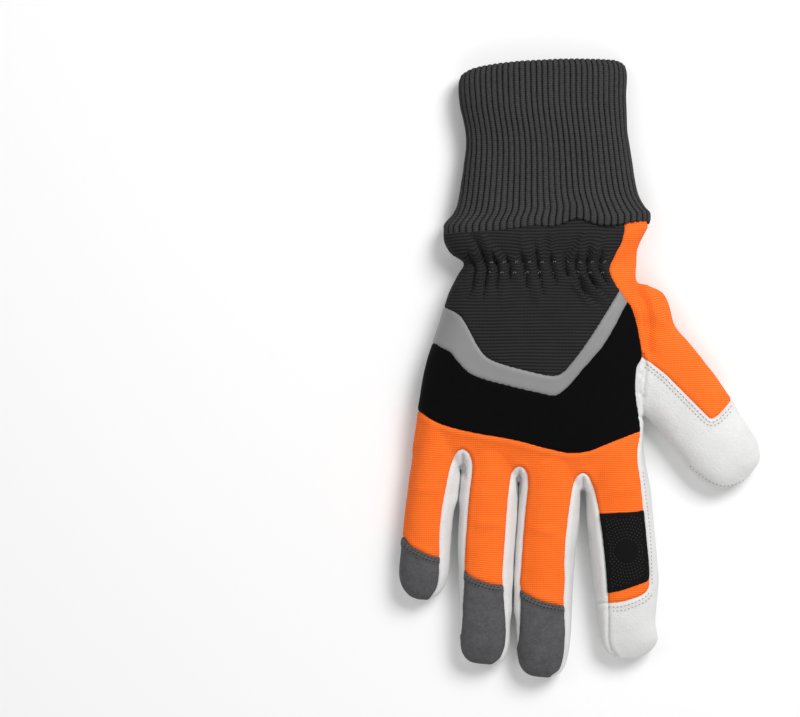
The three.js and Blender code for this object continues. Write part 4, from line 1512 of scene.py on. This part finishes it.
@dataclass(frozen=True)
class GripDots:
    """Raised dots on the touch patch, in arcs round a bare middle.

    Attributes:
        centre: middle of the arcs in plan, in mm.
        pitch: distance between dots, in mm.
        bare: radius of the bare middle, in mm.
        radius: half a dot's width, in mm.
        rise: its height, in mm.
    """

    centre: tuple = (22.5, -91.0)
    pitch: float = 1.55
    bare: float = 6.5
    radius: float = 0.36
    rise: float = 0.2

    def build(self, tree: BVHTree) -> bpy.types.Object:
        """Makes the dots: low domes of two rings, set on the patch.

        Args:
            tree: the surface of the patch.

        Returns:
            The piece.
        """
        places = []
        for ring in np.arange(self.bare, 24, self.pitch):
            turn = np.arange(0, TAU, self.pitch / ring)
            places.append(np.array(self.centre) + ring * np.stack([np.cos(turn), np.sin(turn)], 1))
        plan = np.vstack(places)
        outline = np.array(TOUCH_OUTLINE)
        plan = plan[is_inside(plan, outline) & (distance_to_line(plan, outline) > 2.2)]
        hits = [tree.ray_cast((x, y, 80.0), (0, 0, -1)) for x, y in plan]
        foot = np.array([hit[0] for hit in hits])
        normal = np.array([hit[1] for hit in hits])
        beside = np.cross(normal, (0, 1, 0))
        beside /= np.linalg.norm(beside, axis=1)[:, None]
        ahead = np.cross(normal, beside)
        sides = 8
        turn = TAU * np.arange(sides) / sides
        ring = np.cos(turn)[:, None] * beside[:, None] + np.sin(turn)[:, None] * ahead[:, None]
        low = foot[:, None] + self.radius * ring - 0.05 * normal[:, None]
        high = foot[:, None] + 0.6 * self.radius * ring + 0.8 * self.rise * normal[:, None]
        top = (foot + self.rise * normal)[:, None]
        under = (foot - 0.05 * normal)[:, None]
        points = np.concatenate([low, high, top, under], 1)
        k, after = np.arange(sides), (np.arange(sides) + 1) % sides
        single = np.concatenate([
            np.stack([k, k + sides, after], 1), np.stack([after, k + sides, after + sides], 1),
            np.stack([k + sides, np.full(sides, 2 * sides), after + sides], 1),
            np.stack([k, after, np.full(sides, 2 * sides + 1)], 1),
        ])
        starts = np.arange(len(points)) * points.shape[1]
        faces = (single[:, ::-1] + starts[:, None, None]).reshape(-1, 3)
        return make_object("touch_patch_dots", points.reshape(-1, 3), faces, 80)


# Finishes


def linear(code: str) -> tuple:
    """Turns an sRGB colour into the linear one that a shader takes.

    Args:
        code: the colour as #rrggbb.

    Returns:
        Red, green, blue and alpha.
    """
    parts = [int(code[i : i + 2], 16) / 255 for i in (1, 3, 5)]
    low = [c / 12.92 if c <= 0.04045 else ((c + 0.055) / 1.055) ** 2.4 for c in parts]
    return (*low, 1.0)


def add_node(tree: bpy.types.NodeTree, kind: str, inputs: dict | None = None,
             **settings: object) -> bpy.types.Node:
    """Adds one node.

    Args:
        tree: the material's nodes.
        kind: the node's type.
        inputs: values or output sockets for its inputs, by name or number.
        settings: the node's own settings.

    Returns:
        The node.
    """
    node = tree.nodes.new(kind)
    for name, value in settings.items():
        setattr(node, name, value)
    for name, value in (inputs or {}).items():
        if isinstance(value, bpy.types.NodeSocket):
            tree.links.new(value, node.inputs[name])
        else:
            node.inputs[name].default_value = value
    return node


@dataclass(frozen=True)
class Finish:
    """A finish: a colour that varies a little, a roughness and a relief.

    Attributes:
        name: name of the material.
        slot: the record's slot.
        colour: sRGB hex.
        shade: sRGB hex of its darker parts.
        roughness: of the shader.
        sheen: weight of the soft light that a nap throws back.
        relief: height of the relief, in mm.
        gloss: specular level; napped cloth has little.
        woven: whether the pattern follows the piece's weave attribute.
    """

    name: str
    slot: str
    colour: str
    shade: str
    roughness: float = 0.9
    sheen: float = 0.0
    relief: float = 0.1
    gloss: float = 0.2
    woven: bool = False

    def material(self) -> bpy.types.Material:
        """Makes the material: the darkness picks between colour and shade, and the height is a bump.

        Returns:
            The material.
        """
        made = bpy.data.materials.new(self.name)
        made.use_nodes = True
        tree = made.node_tree
        shader = tree.nodes["Principled BSDF"]
        shader.inputs["Roughness"].default_value = self.roughness
        shader.inputs["Sheen Weight"].default_value = self.sheen
        shader.inputs["Sheen Roughness"].default_value = 0.5
        shader.inputs["Specular IOR Level"].default_value = self.gloss
        if self.woven:
            place = add_node(tree, "ShaderNodeAttribute", attribute_name="weave").outputs["Vector"]
        else:
            place = add_node(tree, "ShaderNodeTexCoord").outputs["Object"]
        height, dark = self.pattern(tree, place)
        blend = add_node(tree, "ShaderNodeMix", {0: dark, 6: linear(self.colour), 7: linear(self.shade)},
                         data_type="RGBA")
        tree.links.new(blend.outputs[2], shader.inputs["Base Color"])
        rise = {"Height": height, "Distance": self.relief * MM, "Strength": 1.0}
        bump = add_node(tree, "ShaderNodeBump", rise)
        tree.links.new(bump.outputs["Normal"], shader.inputs["Normal"])
        return made

    def waves(self, tree: bpy.types.NodeTree, place: bpy.types.NodeSocket, pitch: float,
              turn: float) -> bpy.types.NodeSocket:
        """A sine wave from 0 to 1 across the piece.

        Args:
            tree: the material's nodes.
            place: coordinates in metres.
            pitch: length of a wave, in mm.
            turn: direction that the waves run in, in degrees from X.

        Returns:
            The socket of the wave.
        """
        way = (math.cos(math.radians(turn)), math.sin(math.radians(turn)), 0.0)
        along = add_node(tree, "ShaderNodeVectorMath", {0: place, 1: way}, operation="DOT_PRODUCT")
        scaled = {0: along.outputs["Value"], 1: TAU / (pitch * MM)}
        turns = add_node(tree, "ShaderNodeMath", scaled, operation="MULTIPLY").outputs[0]
        sine = add_node(tree, "ShaderNodeMath", {0: turns}, operation="SINE").outputs[0]
        halved = {0: sine, 1: 0.5, 2: 0.5}
        return add_node(tree, "ShaderNodeMath", halved, operation="MULTIPLY_ADD").outputs[0]

    def grain(self, tree: bpy.types.NodeTree, place: bpy.types.NodeSocket, size: float,
              detail: float = 2.0) -> bpy.types.NodeSocket:
        """Noise from 0 to 1 whose spots are about size mm across."""
        settings = {"Vector": place, "Scale": 1 / (size * MM), "Detail": detail, "Roughness": 0.6}
        return add_node(tree, "ShaderNodeTexNoise", settings).outputs["Fac"]

    def mixed(self, tree: bpy.types.NodeTree, parts: list) -> bpy.types.NodeSocket:
        """Adds patterns up.

        Args:
            tree: the material's nodes.
            parts: socket and weight of each.

        Returns:
            The socket of the sum.
        """
        total = None
        for socket, weight in parts:
            inputs = {0: socket, 1: weight, 2: 0.0 if total is None else total}
            total = add_node(tree, "ShaderNodeMath", inputs, operation="MULTIPLY_ADD").outputs[0]
        return total

    def pattern(self, tree: bpy.types.NodeTree, place: bpy.types.NodeSocket) -> tuple:
        """The sockets of the relief and of the darkness, both from 0 to 1."""
        fine = self.grain(tree, place, 0.5)
        return fine, fine


@dataclass(frozen=True)
class Goatskin(Finish):
    """White goatskin, tanned and milled: a soft satin with fine pebbles and faint creases."""

    def pattern(self, tree: bpy.types.NodeTree, place: bpy.types.NodeSocket) -> tuple:
        """Pebbles of 0.9 mm with broader creases; the hollows between the pebbles are painted a little
        greyer, as shade.

        Args:
            tree: the material's nodes.
            place: coordinates in metres.

        Returns:
            The sockets of the relief and of the darkness, both from 0 to 1.
        """
        cells = add_node(tree, "ShaderNodeTexVoronoi", {"Vector": place, "Scale": 1 / (0.9 * MM)},
                         feature="SMOOTH_F1").outputs["Distance"]
        broad = self.grain(tree, place, 4.0, 3.0)
        height = self.mixed(tree, [(cells, -0.6), (broad, 0.4), (self.grain(tree, place, 0.8, 3.0), 0.6)])
        tint = self.grain(tree, place, 14.0)
        # colour: a random tint, plus painted shade in the pebbles' hollows
        return height, self.mixed(tree, [(tint, 0.7), (cells, 0.25)])


@dataclass(frozen=True)
class RibbedCloth(Finish):
    """Stretch cloth with fine ribs across the hand, its colour painted darker between them as shade.

    Attributes:
        pitch: spacing of the ribs, in mm.
        turn: direction across the ribs, in degrees from X.
        yarn: spacing of the yarns along a rib, in mm.
        wander: how far the ribs stray from a straight line, in mm.
        bends: how often they do, per metre.
    """

    pitch: float = 1.0
    turn: float = 90.0
    yarn: float = 0.75
    wander: float = 0.6
    bends: float = 90.0

    def pattern(self, tree: bpy.types.NodeTree, place: bpy.types.NodeSocket) -> tuple:
        """Ribs, yarns across them and a little fuzz; the colour is painted darker between the ribs and
        between the yarns, as shade.

        Args:
            tree: the material's nodes.
            place: coordinates in metres.

        Returns:
            The sockets of the relief and of the darkness, both from 0 to 1.
        """
        bent = add_node(tree, "ShaderNodeTexNoise", {"Vector": place, "Scale": self.bends}).outputs["Color"]
        moved = add_node(tree, "ShaderNodeVectorMath", {0: bent, 1: (self.wander * MM,) * 3},
                         operation="MULTIPLY").outputs[0]
        place = add_node(tree, "ShaderNodeVectorMath", {0: place, 1: moved}, operation="ADD").outputs[0]
        ribs = self.waves(tree, place, self.pitch, self.turn)
        yarns = self.waves(tree, place, self.yarn, self.turn + 90)
        fuzz = self.grain(tree, place, 0.3)
        height = self.mixed(tree, [(ribs, 0.65), (yarns, 0.2), (fuzz, 0.25)])
        fading = self.grain(tree, place, 12)
        # painted shade between the ribs and the yarns; the fuzz and the fading are random tone
        dark = self.mixed(tree, [(ribs, -0.55), (yarns, -0.2), (fuzz, 0.36), (fading, 0.2)])
        lifted = add_node(tree, "ShaderNodeMath", {0: dark, 1: 0.55}, operation="ADD", use_clamp=True)
        return height, lifted.outputs[0]


@dataclass(frozen=True)
class Suede(Finish):
    """Short-napped microfibre suede: matt and mottled, with a soft bloom at its edges."""

    def pattern(self, tree: bpy.types.NodeTree, place: bpy.types.NodeSocket) -> tuple:
        """Nap of 0.7 mm in clumps of 2.2 mm and blotches of 6 mm.

        Args:
            tree: the material's nodes.
            place: coordinates in metres.

        Returns:
            The sockets of the relief and of the darkness, both from 0 to 1.
        """
        nap = self.grain(tree, place, 0.7, 4.0)
        clumps = self.grain(tree, place, 2.2, 3.0)
        blotches = self.grain(tree, place, 6.0, 3.0)
        dark = self.mixed(tree, [(nap, 0.8), (clumps, 0.5), (blotches, 0.4)])
        lifted = add_node(tree, "ShaderNodeMath", {0: dark, 1: -0.4}, operation="ADD", use_clamp=True)
        return self.mixed(tree, [(nap, 0.6), (clumps, 0.4)]), lifted.outputs[0]


@dataclass(frozen=True)
class RibKnit(Finish):
    """Acrylic 1 by 1 rib knit: a column of V stitches along each rib.

    Attributes:
        stitch: length of a stitch, in mm.
    """

    stitch: float = 1.1

    def pattern(self, tree: bpy.types.NodeTree, place: bpy.types.NodeSocket) -> tuple:
        """V stitches from the knit's own UV map: waves along a rib that lag away from its middle.

        The valleys between the ribs darken with the fourth power of the distance from the rib's middle:
        painted shade, on top of the real valleys of the mesh. The gaps between the stitches are painted
        darker too, as shade.

        Args:
            tree: the material's nodes.
            place: coordinates in metres.

        Returns:
            The sockets of the relief and of the darkness, both from 0 to 1.
        """
        uv = add_node(tree, "ShaderNodeUVMap", uv_map="knit").outputs[0]
        parts = add_node(tree, "ShaderNodeSeparateXYZ", {0: uv})
        inside = add_node(tree, "ShaderNodeMath", {0: parts.outputs[0]}, operation="FRACT").outputs[0]
        off = add_node(tree, "ShaderNodeMath", {0: inside, 1: 0.5}, operation="SUBTRACT").outputs[0]
        away = add_node(tree, "ShaderNodeMath", {0: off}, operation="ABSOLUTE").outputs[0]
        lag = add_node(tree, "ShaderNodeMath", {0: away, 1: -0.7}, operation="MULTIPLY").outputs[0]
        rows = add_node(tree, "ShaderNodeMath", {0: parts.outputs[1], 1: 1 / self.stitch, 2: lag},
                        operation="MULTIPLY_ADD").outputs[0]
        turns = add_node(tree, "ShaderNodeMath", {0: rows, 1: TAU}, operation="MULTIPLY").outputs[0]
        sine = add_node(tree, "ShaderNodeMath", {0: turns}, operation="SINE").outputs[0]
        halved = {0: sine, 1: 0.5, 2: 0.5}
        loops = add_node(tree, "ShaderNodeMath", halved, operation="MULTIPLY_ADD").outputs[0]
        fuzz = self.grain(tree, place, 0.9, 4.0)
        deep = add_node(tree, "ShaderNodeMath", {0: away, 1: 4.0}, operation="POWER").outputs[0]
        # painted shade between the stitches and in the valleys between the ribs; the fuzz is random tone
        dark = self.mixed(tree, [(loops, -0.25), (fuzz, 0.9), (deep, 13.0)])
        lifted = add_node(tree, "ShaderNodeMath", {0: dark, 1: 0.0}, operation="ADD", use_clamp=True)
        return self.mixed(tree, [(loops, 0.4), (fuzz, 0.7)]), lifted.outputs[0]


@dataclass(frozen=True)
class GridRubber(Finish):
    """Moulded rubber, satin, with a fine square grid pressed into it."""

    def pattern(self, tree: bpy.types.NodeTree, place: bpy.types.NodeSocket) -> tuple:
        """Lines 1 mm apart both ways, and a fine moulding grain.

        Args:
            tree: the material's nodes.
            place: coordinates in metres.

        Returns:
            The sockets of the relief and of the darkness, both from 0 to 1.
        """
        lengthwise, across = self.waves(tree, place, 1.0, 0), self.waves(tree, place, 1.0, 90)
        lines = add_node(tree, "ShaderNodeMath", {0: lengthwise, 1: across}, operation="MINIMUM").outputs[0]
        fine = self.grain(tree, place, 0.25)
        return self.mixed(tree, [(lines, 0.9), (fine, 0.1)]), fine


FINISHES = {
    # milled goatskin: nearly white, a soft satin with pebbles of a milled grain
    "white_leather": Goatskin(
        name="milled_white_goatskin", slot="white_leather", colour="#e4e4e3", shade="#cccccb",
        roughness=0.5, sheen=0.02, relief=0.26, gloss=0.35,
    ),
    # ottoman weave: matt charcoal, with painted shade as dark lines between its ribs
    "ribbed_back_cloth": RibbedCloth(
        name="ottoman_polyester", slot="ribbed_back_cloth", colour="#333334", shade="#0f0f10",
        roughness=0.95, sheen=0.01, relief=0.35, gloss=0.08, woven=True, pitch=1.6, turn=90, yarn=0.7,
    ),
    # glass beads on a twill backing: an even dull silver with a faint slanting weave, painted faintly darker
    # between its ribs as shade
    "reflective_tape": RibbedCloth(
        name="glass_bead_tape", slot="reflective_tape", colour="#898989", shade="#7f7f7f",
        roughness=0.45, sheen=0.0, relief=0.04, gloss=0.3, woven=True, pitch=0.5, turn=45, yarn=0.5,
    ),
    # brushed neoprene: a deep black that takes nearly all light
    "neoprene": Suede(
        name="brushed_neoprene", slot="neoprene", colour="#0c0c0d", shade="#060607",
        roughness=0.95, sheen=0.01, relief=0.12, gloss=0.06,
    ),
    # high-visibility stretch twill: bright orange ribs, with painted shade deepening the orange between them
    "orange_cloth": RibbedCloth(
        name="orange_stretch_twill", slot="orange_cloth", colour="#ff8636", shade="#ee4a00",
        roughness=0.9, sheen=0.02, relief=0.19, gloss=0.1, woven=True, pitch=1.05, turn=90, yarn=0.9,
    ),
    # microfibre suede: a mottled mid grey, darker on the fingertips than on the tab
    "dark_suede": Suede(
        name="dark_microfibre_suede", slot="dark_suede", colour="#666668", shade="#343435",
        roughness=0.95, sheen=0.04, relief=0.2, gloss=0.1,
    ),
    "grey_suede": Suede(
        name="grey_microfibre_suede", slot="grey_suede", colour="#707071", shade="#4c4c4d",
        roughness=0.95, sheen=0.04, relief=0.2, gloss=0.1,
    ),
    # conductive knit: smooth and black, with a faint shine
    "touch_cloth": Suede(
        name="touch_screen_cloth", slot="touch_cloth", colour="#101011", shade="#070708",
        roughness=0.8, sheen=0.0, relief=0.06, gloss=0.12,
    ),
    # acrylic rib knit: charcoal columns of stitches, fuzzy, with painted shade that makes the valleys black
    "rib_knit": RibKnit(
        name="acrylic_rib_knit", slot="rib_knit", colour="#484849", shade="#070708",
        roughness=0.95, sheen=0.02, relief=0.25, gloss=0.06,
    ),
    # moulded rubber: near black with a soft shine on a pressed grid
    "moulded_rubber": GridRubber(
        name="moulded_rubber", slot="moulded_rubber", colour="#2b2b2c", shade="#202021",
        roughness=0.5, sheen=0.0, relief=0.15, gloss=0.35,
    ),
}
# spun polyester threads: grey on the leather, near black on the suede
PALE_THREAD = Finish(
    name="pale_polyester_thread", slot="white_leather", colour="#8e8e8e", shade="#707070",
    roughness=0.7, relief=0.03,
)
DARK_THREAD = Finish(
    name="dark_polyester_thread", slot="dark_suede", colour="#161617", shade="#0c0c0d",
    roughness=0.7, relief=0.03,
)
# printed silicone: black drops that shine a little
DOTS = Finish(
    name="silicone_dots", slot="touch_cloth", colour="#202021", shade="#1a1a1b",
    roughness=0.45, relief=0.01, gloss=0.4,
)
# the record's slot of each node
SLOTS = {entry["node"]: entry["material_slot"] for entry in frame["record"]["subparts"]}


class Held(Enum):
    """How a sheet is held on the glove."""

    GATHERED = "gathered"
    LAID = "laid"
    FOLDED = "folded"
    STRETCHED = "stretched"


@dataclass(frozen=True)
class Cut:
    """The flat shape that a soft piece is cut from.

    Attributes:
        width: across the hand or the strip, in mm.
        length: along it, in mm.
        area: of the cut, in square mm.
        held: how the piece is held.
    """

    width: float
    length: float
    area: float
    held: Held

    def declare(self, piece: bpy.types.Object, sewn: list) -> None:
        """Takes a piece and what is sewn on it, and does nothing with them."""


CUTS = {
    "back_cloth": Cut(125, 92, 7800, Held.GATHERED),
    "reflective_stripe": Cut(145, 12, 1700, Held.LAID),
    "knuckle_panel": Cut(116, 60, 4800, Held.STRETCHED),
    "finger_back_cloth": Cut(125, 100, 8000, Held.STRETCHED),
    "little_fingertip_cap": Cut(30, 36, 880, Held.STRETCHED),
    "ring_fingertip_cap": Cut(34, 48, 1290, Held.STRETCHED),
    "middle_fingertip_cap": Cut(30, 47, 1180, Held.STRETCHED),
    "thumb_back_cloth": Cut(85, 105, 4500, Held.STRETCHED),
    "thumb_back_leather": Cut(62, 78, 2600, Held.STRETCHED),
    "little_ring_gusset": Cut(22, 155, 3300, Held.FOLDED),
    "ring_middle_gusset": Cut(23, 165, 3600, Held.FOLDED),
    "middle_index_gusset": Cut(25, 165, 3800, Held.FOLDED),
    "touch_patch": Cut(25, 41, 930, Held.LAID),
    "rib_cuff": Cut(190, 84, 15900, Held.FOLDED),
    "cuff_tab": Cut(44, 37, 1500, Held.LAID),
}


def dress(piece: bpy.types.Object, material: bpy.types.Material) -> None:
    """Gives a piece its finish, and the body and slot of the node that it belongs to.

    Args:
        piece: the piece.
        material: the finish.
    """
    piece.data.materials.append(material)
    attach(piece, "root")


@dataclass(frozen=True)
class Studio:
    """A white floor, soft light from the upper right and a camera straight above, in metres.

    Attributes:
        view_width: width of what the camera sees at the middle of the glove's height.
        lens: focal length, in mm, on a sensor of 36 mm.
        aim: x and y under the camera.
        height: height of the middle of the glove.
        floor_half: half the floor's width.
        floor_z: height of the floor, in mm, just under the glove's stitches.
        daylight: strength of the even light from all round.
    """

    view_width: float = 0.400
    lens: float = 135.0
    aim: tuple = (-0.090, 0.00475)
    height: float = 0.012
    floor_half: float = 1.5
    floor_z: float = -0.3
    daylight: float = 0.34

    def build(self) -> None:
        """Makes the floor, the lamps, the surroundings and the camera."""
        corners = np.array([[-1, -1], [1, -1], [1, 1], [-1, 1]]) * self.floor_half / MM
        points = np.column_stack([corners, np.full(4, self.floor_z)])
        floor = make_object("floor", points, np.array([[0, 1, 2, 3]]))
        white = bpy.data.materials.new("white_paper")
        white.use_nodes = True
        shader = white.node_tree.nodes["Principled BSDF"]
        shader.inputs["Base Color"].default_value = linear("#f4f4f4")
        shader.inputs["Roughness"].default_value = 0.95
        floor.data.materials.append(white)
        self.lamp("key", (0.6, 0.75, 1.15), 0.7, 18.5)
        self.lamp("fill", (-0.9, 0.2, 1.2), 1.0, 3.5)
        self.lamp("front", (0.1, -0.9, 1.1), 1.0, 3.5)
        world = bpy.context.scene.world or bpy.data.worlds.new("surroundings")
        bpy.context.scene.world = world
        world.use_nodes = True
        world.node_tree.nodes["Background"].inputs[0].default_value = (1, 1, 1, 1)
        world.node_tree.nodes["Background"].inputs[1].default_value = self.daylight
        data = bpy.data.cameras.new("camera")
        data.sensor_width = 36.0
        data.lens = self.lens
        camera = bpy.data.objects.new("camera", data)
        away = self.view_width * self.lens / data.sensor_width
        camera.location = (*self.aim, self.height + away)
        bpy.context.scene.collection.objects.link(camera)
        bpy.context.scene.camera = camera

    @staticmethod
    def lamp(name: str, place: tuple, size: float, power: float) -> None:
        """Adds a square area lamp that faces the middle of the glove.

        Args:
            name: name of the lamp.
            place: where it stands, in metres.
            size: length of its side, in metres.
            power: in watts.
        """
        data = bpy.data.lights.new(name, "AREA")
        data.size = size
        data.energy = power
        made = bpy.data.objects.new(name, data)
        made.location = place
        made.rotation_euler = (-Vector(place)).to_track_quat("-Z", "Y").to_euler()
        bpy.context.scene.collection.objects.link(made)


def main() -> None:
    """Builds the glove and the studio."""
    logging.basicConfig(level=logging.INFO, format="%(name)s: %(message)s")
    materials = {name: finish.material() for name, finish in FINISHES.items()}
    hand = Hand()
    pieces = hand.build()
    pieces["rib_cuff"] = Cuff().build()
    label = Label()
    pieces.update(label.build())
    for node, piece in pieces.items():
        dress(piece, materials[SLOTS[node]])
        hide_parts(node)
        LOG.info("%s stands for %s, %d faces", piece.name, node, len(piece.data.polygons))
    pale, dark = PALE_THREAD.material(), DARK_THREAD.material()
    sewing = [
        (PALE_THREADS, pale, hand.tree),
        (DARK_THREADS, dark, hand.tree),
        ([TAB_THREAD], pale, label.tree),
        ([BADGE_LINE], dark, label.tree),
    ]
    sewn = {node: [] for node in pieces}
    for threads, material, tree in sewing:
        for thread in threads:
            row = thread.build(tree)
            dress(row, material)
            sewn[thread.on].append(row)
            LOG.info("%s on %s, %d faces", row.name, thread.on, len(row.data.polygons))
    dots = GripDots().build(hand.tree)
    dress(dots, DOTS.material())
    sewn["touch_patch"].append(dots)
    for node, cut in CUTS.items():
        cut.declare(pieces[node], sewn[node])
    Studio().build()
    bpy.context.scene.view_settings.view_transform = "Standard"


if __name__ == "__main__":
    main()
    bpy.context.view_layer.update()
